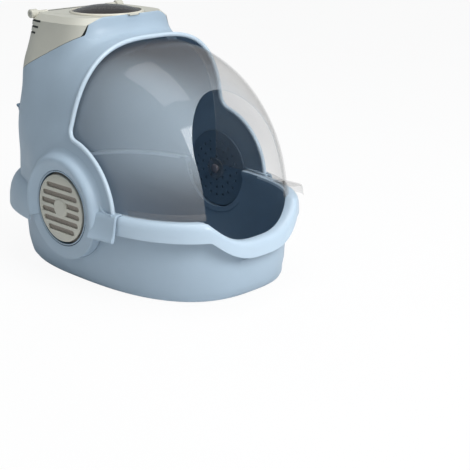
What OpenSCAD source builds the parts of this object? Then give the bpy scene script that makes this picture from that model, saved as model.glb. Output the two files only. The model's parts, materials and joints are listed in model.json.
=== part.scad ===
// Hooded cat litter box: an oval tray, a hood that lifts off it, a swinging clear visor,
// a vent filter in each side hub and a charcoal deodorizer on top.
// Millimetres. +Z is up, -Y is the front, and the origin is on the floor under the middle.

/* [Visor] */
// Radius of the clear visor about its pivot axis
visor_radius = 307; // [285:1:325]
// Half width of the visor at its pivots
visor_half_width = 205; // [190:1:220]
// Squareness of the visor's section: 2 is an ellipse, more is boxier
visor_square = 3; // [2.6:0.1:3.4]
// Wall of the visor
visor_wall = 2.4; // [1.8:0.1:3.5]
// How far the visor's upper edge reaches round from the front, in degrees
visor_span = 88; // [86:0.5:89]
// How far the visor swings open, in degrees
visor_open = 52; // [40:1:54]
// Half width of the cat's entrance in the visor
entrance_half_width = 110; // [90:1:120]
// Height of the entrance's straight sides above the pivots
entrance_straight = 114; // [90:1:120]
// Rise of the entrance's arched top
entrance_arch = 118; // [90:1:125]
// Height of the seating band along the visor's lower edge
band_height = 12; // [8:0.5:16]
// How far the seating band stands out
band_step = 4; // [3:0.5:5]
// Reach of the lift tab at the right of the visor, from the visor's wall
lift_tab_reach = 36; // [28:1:44]
// Length of the lift tab along the rim
lift_tab_length = 58; // [40:1:70]

/* [Pivots] */
// Height of the pivot axis above the floor
pivot_height = 156; // [148:1:160]
// Radius of the stud that carries the visor
stud_radius = 7; // [5:0.25:9]
// Running clearance round a turning pin, on the radius
running_gap = 0.05; // [0.02:0.01:0.08]
// Radius of the visor's pivot boss
pivot_boss_radius = 24; // [18:0.5:28]

/* [Hood] */
// Gap between the visor and the inside of the hood, on the radius
visor_gap = 9; // [7:0.5:11]
// Gap between the visor's side and the inside of the hood
visor_side_gap = 5; // [4.5:0.25:6]
// Wall of the hood
hood_wall = 3; // [2.5:0.25:3.5]
// Angle of the hood's front edge, up from the front, in degrees
hood_edge_angle = 84.5; // [83.5:0.5:85]
// Width of the bead round the hood's front edge
bead_width = 8; // [5:0.5:10]
// Height of the bead above the hood
bead_height = 4; // [2:0.5:5]
// Length of the hood's rear behind the pivots, at the rim
hood_rear = 293; // [280:1:305]
// Depth of the skirt that hangs over the rim at the rear
skirt_depth = 56; // [44:1:62]

/* [Tower] */
// Height of the collar above its shoulder at the deodorizer's sides
tower_rise = 36.5; // [33:0.5:40]
// Height of the collar's crest above the tower's top, in the middle
crest_rise = 8; // [4:0.5:10]
// How far the crest falls towards the tower's sides
crest_fall = 21; // [14:0.5:24]
// Half width of the tower at its top
tower_half_width = 127; // [120:1:132]
// Front of the tower at its top, behind the pivots
tower_front = 30; // [28:0.5:34]
// Rear of the tower at its top, behind the pivots
tower_rear = 240; // [234:1:248]
// Height of the collar's shoulder, where the deodorizer's sides start
shoulder_height = 475.5; // [474:0.5:478]
// Fall of the deck under the deodorizer, per unit of length
deck_slope = 0.487; // [0.46:0.005:0.51]

/* [Tray] */
// Height of the rim above the floor
rim_height = 168; // [164:1:172]
// Shelf of the tray ahead of the visor
front_shelf = 14; // [10:1:18]
// Length of the tray's belly behind the pivots
tray_rear = 286; // [276:1:290]
// How far the rim stands out from the belly
rim_flare = 18; // [14:0.5:20]
// Depth of the rim's turned-down skirt
rim_skirt = 36; // [28:1:42]
// Wall of the tray
tray_wall = 3; // [2.5:0.25:4]
// How far the flat base is set in from the belly
base_inset = 20; // [16:1:24]
// Depth of the dip in the rim at the entrance
dip_depth = 49; // [35:1:58]
// Half width of the dip's level floor
dip_floor = 35; // [25:1:50]
// Half width of the dip at the top
dip_half_width = 120; // [105:1:130]

/* [Hub vents] */
// Outer radius of the filter cup's tube
cup_radius = 75.5; // [72:0.5:78]
// Wall of the filter cup
cup_wall = 3; // [2:0.25:4]
// Radius of the cup's flange inside the cabin
cup_flange_radius = 85; // [83:0.5:90]
// Radius of the slotted vent cover
grille_radius = 70; // [66:0.5:71]
// Thickness of the vent cover's face
grille_face = 3; // [2:0.25:4]
// Height of a vent slot
vent_slot = 7; // [5:0.5:8]
// Distance between vent slot rows
vent_pitch = 17.5; // [15:0.5:19]
// Radius of the plain boss in the middle of the vent cover
vent_boss_radius = 19; // [16:0.5:22]
// Thickness of the carbon pad
pad_thickness = 8; // [5:0.5:9]
// Outer radius of the raised arch round the hub
arch_radius = 109; // [104:0.5:114]
// Radius of the bead that ends the hood's side lobe
lobe_radius = 142; // [138:0.5:146]
// Radius of the round boss on the tray under the hub
tray_boss_radius = 105; // [100:0.5:108]

/* [Deodorizer] */
// Wall of the deodorizer housing
housing_wall = 2.5; // [2:0.25:3.5]
// Radius of the smoked lens
lens_radius = 72; // [64:0.5:73]
// Rise of the smoked lens
lens_rise = 13; // [8:0.5:15]
// Width of the bezel round the lens
bezel_width = 5; // [4:0.5:6]
// Thickness of the lid plate
lid_plate = 3; // [2:0.25:3]
// Radius of the lid's hinge pin
hinge_pin_radius = 2.5; // [2:0.25:3]
// Radius of the fixed hinge knuckles
knuckle_radius = 9; // [8:0.25:10]
// Length of a fixed hinge knuckle
knuckle_length = 18; // [14:0.5:22]
// Radius of the charcoal basket
basket_radius = 60; // [50:0.5:61]
// Depth of the charcoal basket
basket_depth = 26; // [20:0.5:28]
// Radius of the round vent in the deck
deck_vent_radius = 42; // [30:0.5:46]

/* [Scoop pocket] */
// Half width of the scoop pocket
pocket_half_width = 90; // [70:1:100]
// Height of the pocket's mouth above the floor
pocket_top = 296; // [286:1:300]
// Depth of the pocket from its mouth down
pocket_height = 62; // [50:1:80]
// Clear depth of the pocket's mouth, front to back
pocket_mouth = 50; // [36:1:56]
// Wall of the pocket
pocket_wall = 3; // [2:0.25:4]

/* [Hidden] */
$fn = 64;

body_blue = "LightSteelBlue";
inner_navy = "DarkSlateGray";
warm_beige = "Wheat";

// Clearances that one piece keeps from the next
seat = 0.3;          // between pieces that rest on each other
side_play = 1.2;     // between a skirt and the rim that it hangs over
seam = 0.6;          // round a cover in its recess
over = 1;            // how far a cutter runs past the face that it cuts

// Driving places, measured from the pivot axis unless named a height
hood_radius = visor_radius + visor_gap + hood_wall;
hood_half_width = visor_half_width + visor_side_gap + hood_wall;
hood_square = visor_square;
tray_half_width = hood_half_width - 8;
tray_front = visor_radius + front_shelf;
belly_square = 2.5;
rim_square = 2.8;
crest = rim_height - pivot_height;

shoulder_v = shoulder_height - pivot_height;
tower_top_v = shoulder_v + tower_rise;
collar_back = tower_front + 10;
deck_front = collar_back + 12;
collar_lip = 3.9;
bezel_radius = lens_radius + bezel_width;
lid_radius = bezel_radius + 2.5;
lens_y = tower_front + collar_lip + seam + lid_radius;
hinge_y = tower_rear - 28;
pocket_back = hood_rear_at(pocket_top - pivot_height) + seat;
pocket_lip = 2;
pocket_reach = pocket_back + pocket_mouth + 2 * pocket_wall + pocket_lip;
front_reach = tray_front + rim_flare;
hub_y = (front_reach - pocket_reach) / 2;

// ---- Small functions --------------------------------------------------------------------

// Power that keeps the sign of its base
function spow(v, p) = sign(v) * pow(abs(v), p);

// Value between a and b by the share t
function mix(a, b, t) = a + (b - a) * t;

// Smooth step: 0 before a, 1 after b
function smooth(a, b, v) = let (t = min(1, max(0, (v - a) / (b - a)))) t * t * (3 - 2 * t);

// Smallest of f and g, rounded where they are within k of each other
function soft_min(f, g, k) = let (h = max(k - abs(f - g), 0) / k) min(f, g) - h * h * k / 4;

// Half width of the visor or hood at radius r from the pivot axis
function dome_x(r, radius, half, square) =
    half * pow(max(0, 1 - pow(min(1, r / radius), square)), 1 / square);

// Points [r, x] of a dome's section from one pivot to the other
function dome_section(radius, half, square, steps) = [
    for (i = [0 : steps]) let (t = -90 + 180 * i / steps)
        [radius * pow(abs(cos(t)), 2 / square), half * spow(sin(t), 2 / square)]
];

// ---- Lofts ------------------------------------------------------------------------------

// Closed solid through rings of points, each ring counter-clockwise from above
module ring_loft(rings) {
    n = len(rings[0]);
    last = len(rings) - 1;
    low = (last + 1) * n;
    points = concat([for (r = rings) each r],
        [middle(rings[0]), middle(rings[last])]);
    sides = [for (i = [0 : last - 1], j = [0 : n - 1]) let (k = (j + 1) % n)
        each [[i * n + j, (i + 1) * n + k, i * n + k],
              [i * n + j, (i + 1) * n + j, (i + 1) * n + k]]];
    caps = [for (j = [0 : n - 1]) let (k = (j + 1) % n)
        each [[low, j, k], [low + 1, last * n + k, last * n + j]]];
    polyhedron(points, concat(sides, caps));
}

// Mean of a list of points
function middle(ring) = [for (k = [0 : 2]) vsum([for (p = ring) p[k]]) / len(ring)];
function vsum(v) = v * [for (i = v) 1];

// Closed solid between two grids of points, outer and inner, with the same rows and columns
module thick_sheet(outer, inner) {
    h = len(outer);
    m = len(outer[0]);
    q = h * m;
    face = [for (i = [0 : h - 2], j = [0 : m - 2]) let (a = i * m + j, b = a + m)
        each [[a, a + 1, b + 1], [a, b + 1, b],
              [q + a, q + b + 1, q + a + 1], [q + a, q + b, q + b + 1]]];
    ends = [for (j = [0 : m - 2]) let (z = (h - 1) * m + j)
        each [[j + 1, j, q + j], [j + 1, q + j, q + j + 1],
              [z, z + 1, q + z + 1], [z, q + z + 1, q + z]]];
    sides = [for (i = [0 : h - 2]) let (a = i * m, b = a + m, c = a + m - 1, d = c + m)
        each [[a, b, q + b], [a, q + b, q + a], [d, c, q + c], [d, q + c, q + d]]];
    polyhedron(concat([for (r = outer) each r], [for (r = inner) each r]),
        concat(face, ends, sides));
}

// ---- Placing ----------------------------------------------------------------------------

// Children drawn about the pivot axis, moved to their place
module at_pivot() translate([0, hub_y, pivot_height]) children();

// A profile of [r, x] points turned about the pivot axis, from one angle to another.
// Angles go up from the front, so 90 is straight up and 180 is the rear.
module turn(from, to) rotate([0, 90, 0]) rotate_extrude(angle = to - from, start = 270 - to) children();

// Both hubs: the children as drawn for the right side, and their mirror image
module both_sides() {
    children();
    mirror([1, 0, 0]) children();
}

// The left or the right copy of what is drawn for the right side
module on_side(left) mirror([left ? 1 : 0, 0, 0]) children();

// ---- Tray -------------------------------------------------------------------------------

// How much of the dip applies at x: 1 on its floor, 0 beyond it
function dip_share(x) = 1 - smooth(dip_floor, dip_half_width, abs(x));

// Point of the tray's plan outline, o outside the belly, at angle t
function tray_plan(t, o, square_front) =
    let (c = cos(t), s = sin(t), e = 2 / (s < 0 ? square_front : belly_square))
    [(tray_half_width + o) * spow(c, e), ((s < 0 ? tray_front : tray_rear) + o) * spow(s, e)];

// Distance to the tray's rear outline, o outside the belly, in the plan direction a
function tray_rear_at(a, o) =
    pow(pow(abs(cos(a)) / (tray_half_width + o), belly_square)
        + pow(sin(a) / (tray_rear + o), belly_square), -1 / belly_square);

tray_steps = 72;
rim_low = rim_height - rim_skirt;
base_rise = 10;
floor_z = tray_wall;

// Rows of the tray's section from the base out, up over the rim and down to the floor:
// [offset from the belly, height, share of the dip, front squareness]
tray_rows = [
    [-base_inset, 0, 0, rim_square - 0.1],
    [-base_inset * 0.68, base_rise * 0.3, 0, rim_square - 0.1],
    [-base_inset * 0.42, base_rise, 0, belly_square + 0.1],
    [-2, 40, 0, belly_square],
    [0, 80, 0, belly_square],
    [-1, rim_low - 14, 0.78, belly_square],
    [-1, rim_height - 18, 0.98, belly_square],
    [rim_flare * 0.3, rim_height - 10, 1.06, rim_square],
    [rim_flare - tray_wall, rim_low + 3, 0.93, rim_square],
    [rim_flare - tray_wall, rim_low, 0.92, rim_square],
    [rim_flare, rim_low, 0.92, rim_square],
    [rim_flare - 1.5, rim_low + 12, 1, rim_square],
    [rim_flare - 7, rim_height - 8, 1.1, rim_square],
    [rim_flare - 13, rim_height - 2, 1.08, rim_square],
    [-1, rim_height, 1, rim_square],
    [-7, rim_height - 1, 0.99, rim_square],
    [-8, rim_height - 6, 0.98, rim_square],
    [-1 - tray_wall, rim_low - 14, 0.78, belly_square],
    [-tray_wall, 80, 0, belly_square],
    [-2 - tray_wall, 40, 0, belly_square],
    [-base_inset * 0.42 - tray_wall, base_rise + tray_wall * 0.5, 0, belly_square + 0.1],
    [-base_inset * 0.68 - tray_wall * 0.8, base_rise * 0.3 + tray_wall * 0.9, 0, rim_square - 0.1],
    [-base_inset - tray_wall * 0.3, floor_z, 0, rim_square - 0.1]
];

function tray_ring(row) = [
    for (j = [0 : tray_steps - 1]) let (p = tray_plan(360 * j / tray_steps, row[0], row[3]),
        drop = p[1] < 0 ? dip_depth * row[2] * dip_share(p[0]) : 0)
        [p[0], p[1] + hub_y, row[1] - drop]
];

notch_radius = cup_flange_radius + 2;
arch_end_front = -13;
arch_end_rear = 199;
boss_out = hood_half_width + 13;

module litter_tray() color(body_blue) difference() {
    union() {
        ring_loft([for (row = tray_rows) tray_ring(row)]);
        at_pivot() both_sides() tray_boss();
    }
    at_pivot() both_sides() hub_notch();
}

// Round boss on the tray's side, under the hood's hub arch
module tray_boss() turn(arch_end_rear + 1, 360 + arch_end_front - 1)
    polygon([[notch_radius - over, hood_half_width - 14], [tray_boss_radius, hood_half_width - 14],
        [tray_boss_radius, boss_out - 5], [tray_boss_radius - 1.5, boss_out - 1.5],
        [tray_boss_radius - 5, boss_out], [notch_radius - over, boss_out]]);

// The notch that the filter cup drops into as the hood comes down
module hub_notch() translate([tray_half_width - 30, 0, 0]) {
    rotate([0, 90, 0]) cylinder(r = notch_radius, h = rim_flare + 60);
    translate([0, -notch_radius, 0]) cube([rim_flare + 60, 2 * notch_radius, crest + 2 * over]);
}

// ---- Hood -------------------------------------------------------------------------------

// Share of the tower's height, from the rim to its top
function tower_share(v) = min(1, max(0, (v - crest) / (tower_top_v - crest)));

// Half width, rear, front and squareness of the tower's plan section at height v
function tower_half_at(v) = mix(tower_half_width, hood_half_width - 4, pow(1 - pow(tower_share(v), 2.4), 1.85));
function hood_rear_at(v) = mix(tower_rear, hood_rear, pow(1 - pow(tower_share(v), 2), 1.6));
function tower_front_at(v) = mix(mix(-250, tower_front - 10, smooth(0.38, 0.75, tower_share(v))),
    tower_front, smooth(0.8, 1, tower_share(v)));
function tower_square_at(v) = 2.2 + 1.6 * pow(tower_share(v), 1.3);

// Height of the seam between the hood and the deodorizer, y behind the pivots
function seam_at(y) = mix(tower_top_v, shoulder_v - deck_slope * (y - deck_front),
    smooth(collar_back, deck_front, y));

// Below zero inside the tower's column, inset by i
function column_field(x, y, v, i) =
    let (rear = hood_rear_at(v), front = tower_front_at(v), n = tower_square_at(v),
        half = tower_half_at(v) - i, mid = (rear + front) / 2, deep = (rear - front) / 2 - i)
    (pow(pow(abs(x) / half, n) + pow(abs(y - mid) / deep, n), 1 / n) - 1) * min(half, deep);

// Below zero inside the dome over the visor, inset by i. Its radius falls off behind the visor's reach.
dome_fade = [visor_span + visor_open - 3, 166];
function dome_field(x, y, v, i) =
    let (fade = smooth(dome_fade[0], dome_fade[1], atan2(v, -y)), n = hood_square,
        radius = hood_radius - i - fade * (hood_radius - hood_rear + 19), half = hood_half_width - i - fade * 5)
    (pow(pow(abs(x) / half, n) + pow(norm([y, v]) / radius, n), 1 / n) - 1) * radius;

// Below zero inside the hood, inset by i. The tower flows into the dome with a blend that fades towards the hubs.
blend_reach = 24;
deck_turn = atan(deck_slope);
deck_reach = (shoulder_v + deck_slope * deck_front) * cos(deck_turn);
deck_wall = 2.5;
deck_spare = 12;
collar_low = hood_radius - 3;
reach_limit = 1.2 * norm([hood_radius, tower_top_v]);

// Below zero under the sloping deck's outer face, which stands proud by deck_spare until the seam is cut
function deck_field(y, v, i) = y * sin(deck_turn) + v * cos(deck_turn)
    - (i > 0 ? deck_reach - deck_wall : deck_reach + deck_spare);

function hood_field(p, i) = max(deck_field(p[1], p[2], i),
    soft_min(dome_field(p[0], p[1], p[2], i),
        max(column_field(p[0], p[1], p[2], i), p[2] - collar_low + i - max(0, p[1] - collar_back)),
        mix(1, blend_reach, smooth(lobe_radius + 10, hood_radius - 50, norm([p[1], p[2]])))));

// Distance from the pivot axis to the hood's surface along the direction d, by halving
function hood_reach(d, i, low = 90, high = reach_limit, steps = 16) =
    let (mid = (low + high) / 2)
    steps == 0 ? mid
        : hood_field(mid * d, i) < 0 ? hood_reach(d, i, mid, high, steps - 1)
        : hood_reach(d, i, low, mid, steps - 1);

// Distance from the middle to the hood's wall at height v, in the plan direction a
function wall_reach(a, v, i, low = 90, high = reach_limit, steps = 15) =
    let (mid = (low + high) / 2)
    steps == 0 ? mid
        : hood_field([mid * cos(a), mid * sin(a), v], i) < 0 ? wall_reach(a, v, i, mid, high, steps - 1)
        : wall_reach(a, v, i, low, mid, steps - 1);

column_steps = 48;
// Ring of points on the tower's wall at height v, inset by i
function column_ring(v, i) =
    let (rear = hood_rear_at(v), front = tower_front_at(v), n = tower_square_at(v), half = tower_half_at(v) - i,
        mid = (rear + front) / 2, deep = (rear - front) / 2 - i)
    [for (j = [0 : column_steps - 1]) let (t = 360 * j / column_steps)
        [half * spow(cos(t), 2 / n), mid + deep * spow(sin(t), 2 / n), v]];

hood_columns = 36;
hood_side_angle = 34.7;
skirt_side_angle = 32;

// Angles of the hood's rows, closest where the tower's front and rear edges turn
hood_angles = [hood_edge_angle + 1.6, 88.5, 91.5, 94.5, 97.5, 100, 103, 107, 111.5, 116, 120.5, 125,
    129, 132, 134.5, 137, 139.5, 143, 148, 154, 161, 168];

// Plan angle of column j, where the row starts at angle a
function column_angle(j, a) = a + (180 - 2 * a) * j / hood_columns;

// A row of points on the hood at the angle phi, raised by lift
function hood_row(phi, i, lift) = [
    for (j = [0 : hood_columns]) let (a = column_angle(j, hood_side_angle),
        d = [cos(a), -sin(a) * cos(phi), sin(a) * sin(phi)])
        (hood_reach(d, i) + lift * smooth(hood_side_angle + 3, hood_side_angle + 8, min(a, 180 - a))) * d
];

// A level row on the wall at height v
function wall_row(v, i, start) = [
    for (j = [0 : hood_columns]) let (a = column_angle(j, start), r = wall_reach(a, v, i))
        [r * cos(a), r * sin(a), v]
];

// A level row round the tray's rear outline at height v, o outside the belly
function skirt_row(v, o) = [
    for (j = [0 : hood_columns]) let (a = column_angle(j, skirt_side_angle), r = tray_rear_at(a, o))
        [r * cos(a), r * sin(a), v]
];

bead_degrees = bead_width / hood_radius * 180 / PI;
skirt_low = crest - skirt_depth;
skirt_in = rim_flare + side_play;

module hood_skin() {
    edge = hood_edge_angle;
    outer = concat(
        [hood_row(edge, 0, bead_height * 0.6), hood_row(edge + bead_degrees * 0.25, 0, bead_height),
         hood_row(edge + bead_degrees * 0.75, 0, bead_height), hood_row(edge + bead_degrees, 0, bead_height * 0.4)],
        [for (phi = hood_angles) hood_row(phi, 0, 0)],
        [wall_row(crest + 12, 0, 34.5), wall_row(crest + 6.5, 0, 34.3),
         skirt_row(crest + 4.5, rim_flare * 0.6), skirt_row(crest - 2, skirt_in + hood_wall),
         skirt_row(crest - 18, skirt_in + hood_wall + 7), skirt_row(skirt_low, skirt_in + hood_wall + 11)]);
    inner = concat(
        [for (k = [0, 0.25, 0.75, 1]) hood_row(edge + bead_degrees * k, hood_wall, 0)],
        [for (phi = hood_angles) hood_row(phi, hood_wall, 0)],
        [wall_row(crest + 12, hood_wall, 34.5), wall_row(crest + seat, hood_wall, 34.3),
         skirt_row(crest + seat, rim_flare * 0.6), skirt_row(crest - 6, skirt_in),
         skirt_row(crest - 18, skirt_in + 7), skirt_row(skirt_low, skirt_in + 11)]);
    thick_sheet(outer, inner);
}

lobe_out = hood_half_width;
lobe_in = hood_half_width - hood_wall;
lobe_lap = 3.5;

// Outer face of the dome's side at radius r
function side_outer(r) = dome_x(r, hood_radius, hood_half_width, hood_square);

// Flat lobe of the hood round the hub, with a bead at its edge that laps over the shell
module side_lobe() turn(0, 180) polygon([
    [arch_radius - hood_wall / 2, lobe_in], [lobe_radius - 5.5, lobe_in],
    [lobe_radius - 5.5, side_outer(lobe_radius) - hood_wall], [lobe_radius - 2.5, side_outer(lobe_radius) - hood_wall],
    [lobe_radius - 2.5, side_outer(lobe_radius - 2.5) + seat], [lobe_radius + lobe_lap, side_outer(lobe_radius + lobe_lap) + seat],
    [lobe_radius + lobe_lap, side_outer(lobe_radius) + 3], [lobe_radius + 1.5, lobe_out + 1.5],
    [lobe_radius - 1.5, lobe_out + 3.5], [lobe_radius - 4, lobe_out + 4],
    [lobe_radius - 6, lobe_out + 2.5], [lobe_radius - 7, lobe_out], [arch_radius - hood_wall / 2, lobe_out]]);

arch_in = cup_radius + seat;
arch_foot = hood_half_width - hood_wall - 1 + seat;
arch_crest_out = hood_half_width + 22;

// Raised rounded arch round the hub
module hub_arch() turn(arch_end_front, arch_end_rear) polygon([
    [arch_in, arch_foot], [arch_in, arch_crest_out - 10],
    [arch_in + 1.5, arch_crest_out - 8.6], [arch_in + 8, arch_crest_out - 7],
    [arch_in + 12, arch_crest_out - 4], [arch_in + 16, arch_crest_out - 1],
    [arch_in + 19, arch_crest_out], [arch_in + 23, arch_crest_out - 0.5],
    [arch_radius - 5, arch_crest_out - 3], [arch_radius - 2, arch_crest_out - 7],
    [arch_radius, arch_crest_out - 13], [arch_radius, arch_foot]]);

rim_side = tray_half_width + rim_flare;
saddle_length = 56;
saddle_mid = 134;

// Half width of the rim's outline at y ahead of the pivots, and its turn at the saddle
function rim_half_at(y) = rim_side * pow(1 - pow(y / front_reach, rim_square), 1 / rim_square);
saddle_turn = atan((rim_half_at(saddle_mid + 1) - rim_half_at(saddle_mid - 1)) / 2);
saddle_half = rim_half_at(saddle_mid);

// Strap at the front of the arch that hangs over the tray's rim
module saddle() translate([saddle_half, -saddle_mid, crest]) rotate([0, 0, saddle_turn])
    rotate([90, 0, 0]) linear_extrude(height = saddle_length, center = true)
    polygon([[-15, seat], [-15, 3.6], [-6, 4.6], [5, 2.5], [9.5, -3], [13, -20], [16, -40], [21, -47],
        [18, -49], [12.5, -43], [9, -28], [5, -8], [1.5, -1], [-3, seat]]);

// What the tray's rim needs clear at the foot of the lobe and the arch
module rim_room() translate([0, -lobe_radius - 2 * lobe_lap, -tray_boss_radius])
    cube([rim_side + 0.7, 2 * (lobe_radius + 2 * lobe_lap), tray_boss_radius + crest + 2 * seat]);

// What the top of the skirt needs clear at the rear end of the lobe
module skirt_room() translate([lobe_in - 20, lobe_radius - 16, 0]) cube([60, 30, crest + 6]);

// Lobe, arch and strap round a hub, joined to the shell's side
module hub_surround() color(body_blue) at_pivot() {
    difference() {
        union() {
            side_lobe();
            hub_arch();
        }
        rim_room();
        skirt_room();
    }
    saddle();
}
module hub_surround_left() on_side(true) hub_surround();
module hub_surround_right() on_side(false) hub_surround();

deck_vent_y = lens_y + 4;

// Side outline of everything under the seam, raised by gap
module below_seam(gap) rotate([90, 0, 90]) translate([0, 0, -hood_half_width])
    linear_extrude(height = 2 * hood_half_width) polygon(concat(
        [[-hood_rear, 0], [-hood_rear, tower_top_v + 3 * crest_rise], [collar_back + gap, tower_top_v + 3 * crest_rise]],
        seam_line(gap), [[hood_rear + 30, seam_at(hood_rear + 30) + gap], [hood_rear + 30, 0]]));

// Side outline of everything over the seam
module above_seam() rotate([90, 0, 90]) translate([0, 0, -hood_half_width])
    linear_extrude(height = 2 * hood_half_width) polygon(concat(
        [[-hood_rear, tower_top_v + 3 * blend_reach], [-hood_rear, tower_top_v]],
        seam_line(0), [[hood_rear + 30, seam_at(hood_rear + 30)], [hood_rear + 30, tower_top_v + 3 * blend_reach]]));

// Points [y, height] of the seam's step, moved back and up by gap
function seam_line(gap) = [for (k = [0 : 6]) let (y = mix(collar_back, deck_front, k / 6)) [y + gap, seam_at(y) + gap]];

// Collar at the tower's front, hollow behind its wall
collar_rows = [[hood_radius - 60, 0], [hood_radius - 30, 0], [hood_radius - 12, 0], [hood_radius - 2, 0],
    [hood_radius + 8, 0], [tower_top_v - 14, 0], [tower_top_v + crest_rise + over, 0]];

// Height of the collar's crest at x from the middle
function crest_at(x) = tower_top_v + crest_rise - crest_fall * pow(abs(x) / (0.8 * tower_half_width), 3);

// Everything at the tower's front that is lower than the crest by drop
module under_crest(drop) rotate([90, 0, 0]) linear_extrude(height = 2 * deck_front + 40, center = true)
    polygon(concat([[-tower_half_width - 20, 0]],
        [for (k = [-12 : 12]) let (x = (tower_half_width + 20) * k / 12) [x, crest_at(x) - drop]],
        [[tower_half_width + 20, 0]]));

module collar() difference() {
    intersection() {
        ring_loft([for (row = collar_rows) column_ring(row[0], row[1])]);
        below_seam(0);
        under_crest(0);
        translate([-hood_half_width, 0, 0]) cube([2 * hood_half_width, deck_front + 4, tower_top_v + over]);
    }
    turn(60, 125) polygon(concat([[0, -hood_half_width]],
        dome_section(hood_radius - hood_wall / 2, hood_half_width - hood_wall / 2, hood_square, dome_steps)));
    intersection() {
        ring_loft([column_ring(hood_radius - 70, hood_wall), column_ring(hood_radius - 30, hood_wall),
            column_ring(hood_radius + 8, hood_wall), column_ring(ledge_top - housing_wall, hood_wall)]);
        under_crest(hood_wall);
    }
    ring_loft([column_ring(housing_top, hood_wall), column_ring(tower_top_v + 2 * crest_rise, hood_wall)]);
    translate([0, 0, ledge_top]) linear_extrude(height = 40) lid_outline(seam);
    translate([-tab_half_width - seam, tab_front - seam, lid_top - seat]) cube([2 * (tab_half_width + seam), 30, 40]);
}

// Places something flat on the sloping deck, over its round vent
module on_deck() translate([0, deck_vent_y, seam_at(deck_vent_y)]) rotate([-deck_turn, 0, 0]) children();

tab_half_width = 14;
tab_front = tower_front - 4;

module hood_shell() color(body_blue) at_pivot() difference() {
    union() {
        difference() {
            hood_skin();
            above_seam();
        }
        collar();
    }
    on_deck() translate([0, 0, -3 * hood_wall]) cylinder(r = deck_vent_radius, h = 6 * hood_wall);
}

// ---- Hub vents --------------------------------------------------------------------------

cup_base = hood_half_width - hood_wall - 3.5;
cup_base_wall = 2.5;
cup_mouth = arch_crest_out - 9;
hub_boss_radius = 14;
hub_boss_out = cup_base + 12;
stud_depth = cup_base + 8;
spigot_radius = 4;
grille_out = cup_mouth + 2;
grille_back = grille_out - grille_face;
lug_in = grille_back - 7;
lug_thick = 2.5;
lug_degrees = 22;
keeper_in = lug_in + lug_thick + seat;
pad_in = cup_base + cup_base_wall + seat;

// Cup behind the hub that holds the carbon pad, with the visor's pivot in its middle
module filter_cup() color(inner_navy) at_pivot() difference() {
    union() {
        turn(0, 360) polygon([[0, cup_base], [cup_flange_radius, cup_base],
            [cup_flange_radius, cup_base + cup_base_wall], [cup_radius, cup_base + cup_base_wall],
            [cup_radius, cup_mouth], [cup_radius - cup_wall, cup_mouth],
            [cup_radius - cup_wall, cup_base + cup_base_wall], [hub_boss_radius, cup_base + cup_base_wall],
            [hub_boss_radius, hub_boss_out], [0, hub_boss_out]]);
        for (k = [0 : 2]) turn(120 * k, 120 * k + lug_degrees)
            translate([grille_radius - 0.6, keeper_in]) square([cup_radius - grille_radius - 1, 2]);
    }
    rotate([0, 90, 0]) {
        translate([0, 0, cup_base - over]) cylinder(r = stud_radius, h = stud_depth - cup_base + over);
        translate([0, 0, stud_depth - over]) cylinder(r = spigot_radius + running_gap, h = hub_boss_out);
        for (ring = [[26, 6], [44, 10], [61, 14]], k = [1 : ring[1]]) rotate([0, 0, 360 * k / ring[1]])
            translate([ring[0], 0, cup_base - over]) cylinder(r = 5, h = cup_base_wall + 2 * over);
    }
}

// Disc of carbon felt round the cup's boss
module carbon_pad() color("DimGray") at_pivot() turn(0, 360)
    translate([hub_boss_radius + seat, pad_in])
    square([cup_radius - cup_wall - hub_boss_radius - 2 * seat, pad_thickness]);

// Half length of the slot row at the height v on the vent cover
function slot_half(v) = sqrt(pow(grille_radius - 9, 2) - v * v);

// One slot with round ends, from x0 to x1
module slot_outline(x0, x1, v) translate([0, v]) {
    translate([x0, -vent_slot / 2]) square([x1 - x0, vent_slot]);
    translate([x0, 0]) circle(r = vent_slot / 2);
    translate([x1, 0]) circle(r = vent_slot / 2);
}

// Six rows of slots, the two middle rows broken by the boss
module vent_slots() for (k = [-2.5 : 2.5]) let (v = k * vent_pitch, h = slot_half(v) - vent_slot / 2) {
    if (abs(v) > vent_boss_radius + vent_slot) slot_outline(-h, h, v);
    else for (s = [-1, 1]) let (gap = vent_boss_radius + vent_slot)
        slot_outline(min(s * gap, s * h), max(s * gap, s * h), v);
}

// Slotted cover that turns on a spigot and locks under the cup's three keepers
module vent_grille() color(warm_beige) at_pivot() difference() {
    union() {
        turn(0, 360) polygon([[0, grille_back - 2], [vent_boss_radius - 3, grille_back - 2],
            [vent_boss_radius - 1, grille_back], [grille_radius - 6, grille_back],
            [grille_radius - 6, lug_in], [grille_radius - 3.5, lug_in], [grille_radius - 3.5, grille_back - 2],
            [grille_radius, grille_back - 1], [grille_radius, grille_out - 1.5], [grille_radius - 1.5, grille_out],
            [vent_boss_radius, grille_out + 0.6], [vent_boss_radius - 2, grille_out + 1.8], [0, grille_out + 2.2]]);
        rotate([0, 90, 0]) translate([0, 0, stud_depth + seat])
            cylinder(r = spigot_radius, h = grille_out - stud_depth - over);
        for (k = [0 : 2]) turn(120 * k, 120 * k + lug_degrees)
            translate([grille_radius - 5, lug_in]) square([6, lug_thick]);
    }
    translate([grille_back - over, 0, 0]) rotate([90, 0, 90]) linear_extrude(height = 2 * grille_face) vent_slots();
}

// Stud pressed into the cup, which the visor's ear turns on
module pivot_stud() color("RosyBrown") at_pivot() rotate([0, 90, 0]) {
    translate([0, 0, ear_in - seat - 4]) cylinder(r = stud_radius + 3.5, h = 4);
    translate([0, 0, ear_in - seat - over]) cylinder(r = stud_radius, h = stud_depth - ear_in + seat + over);
}

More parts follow.
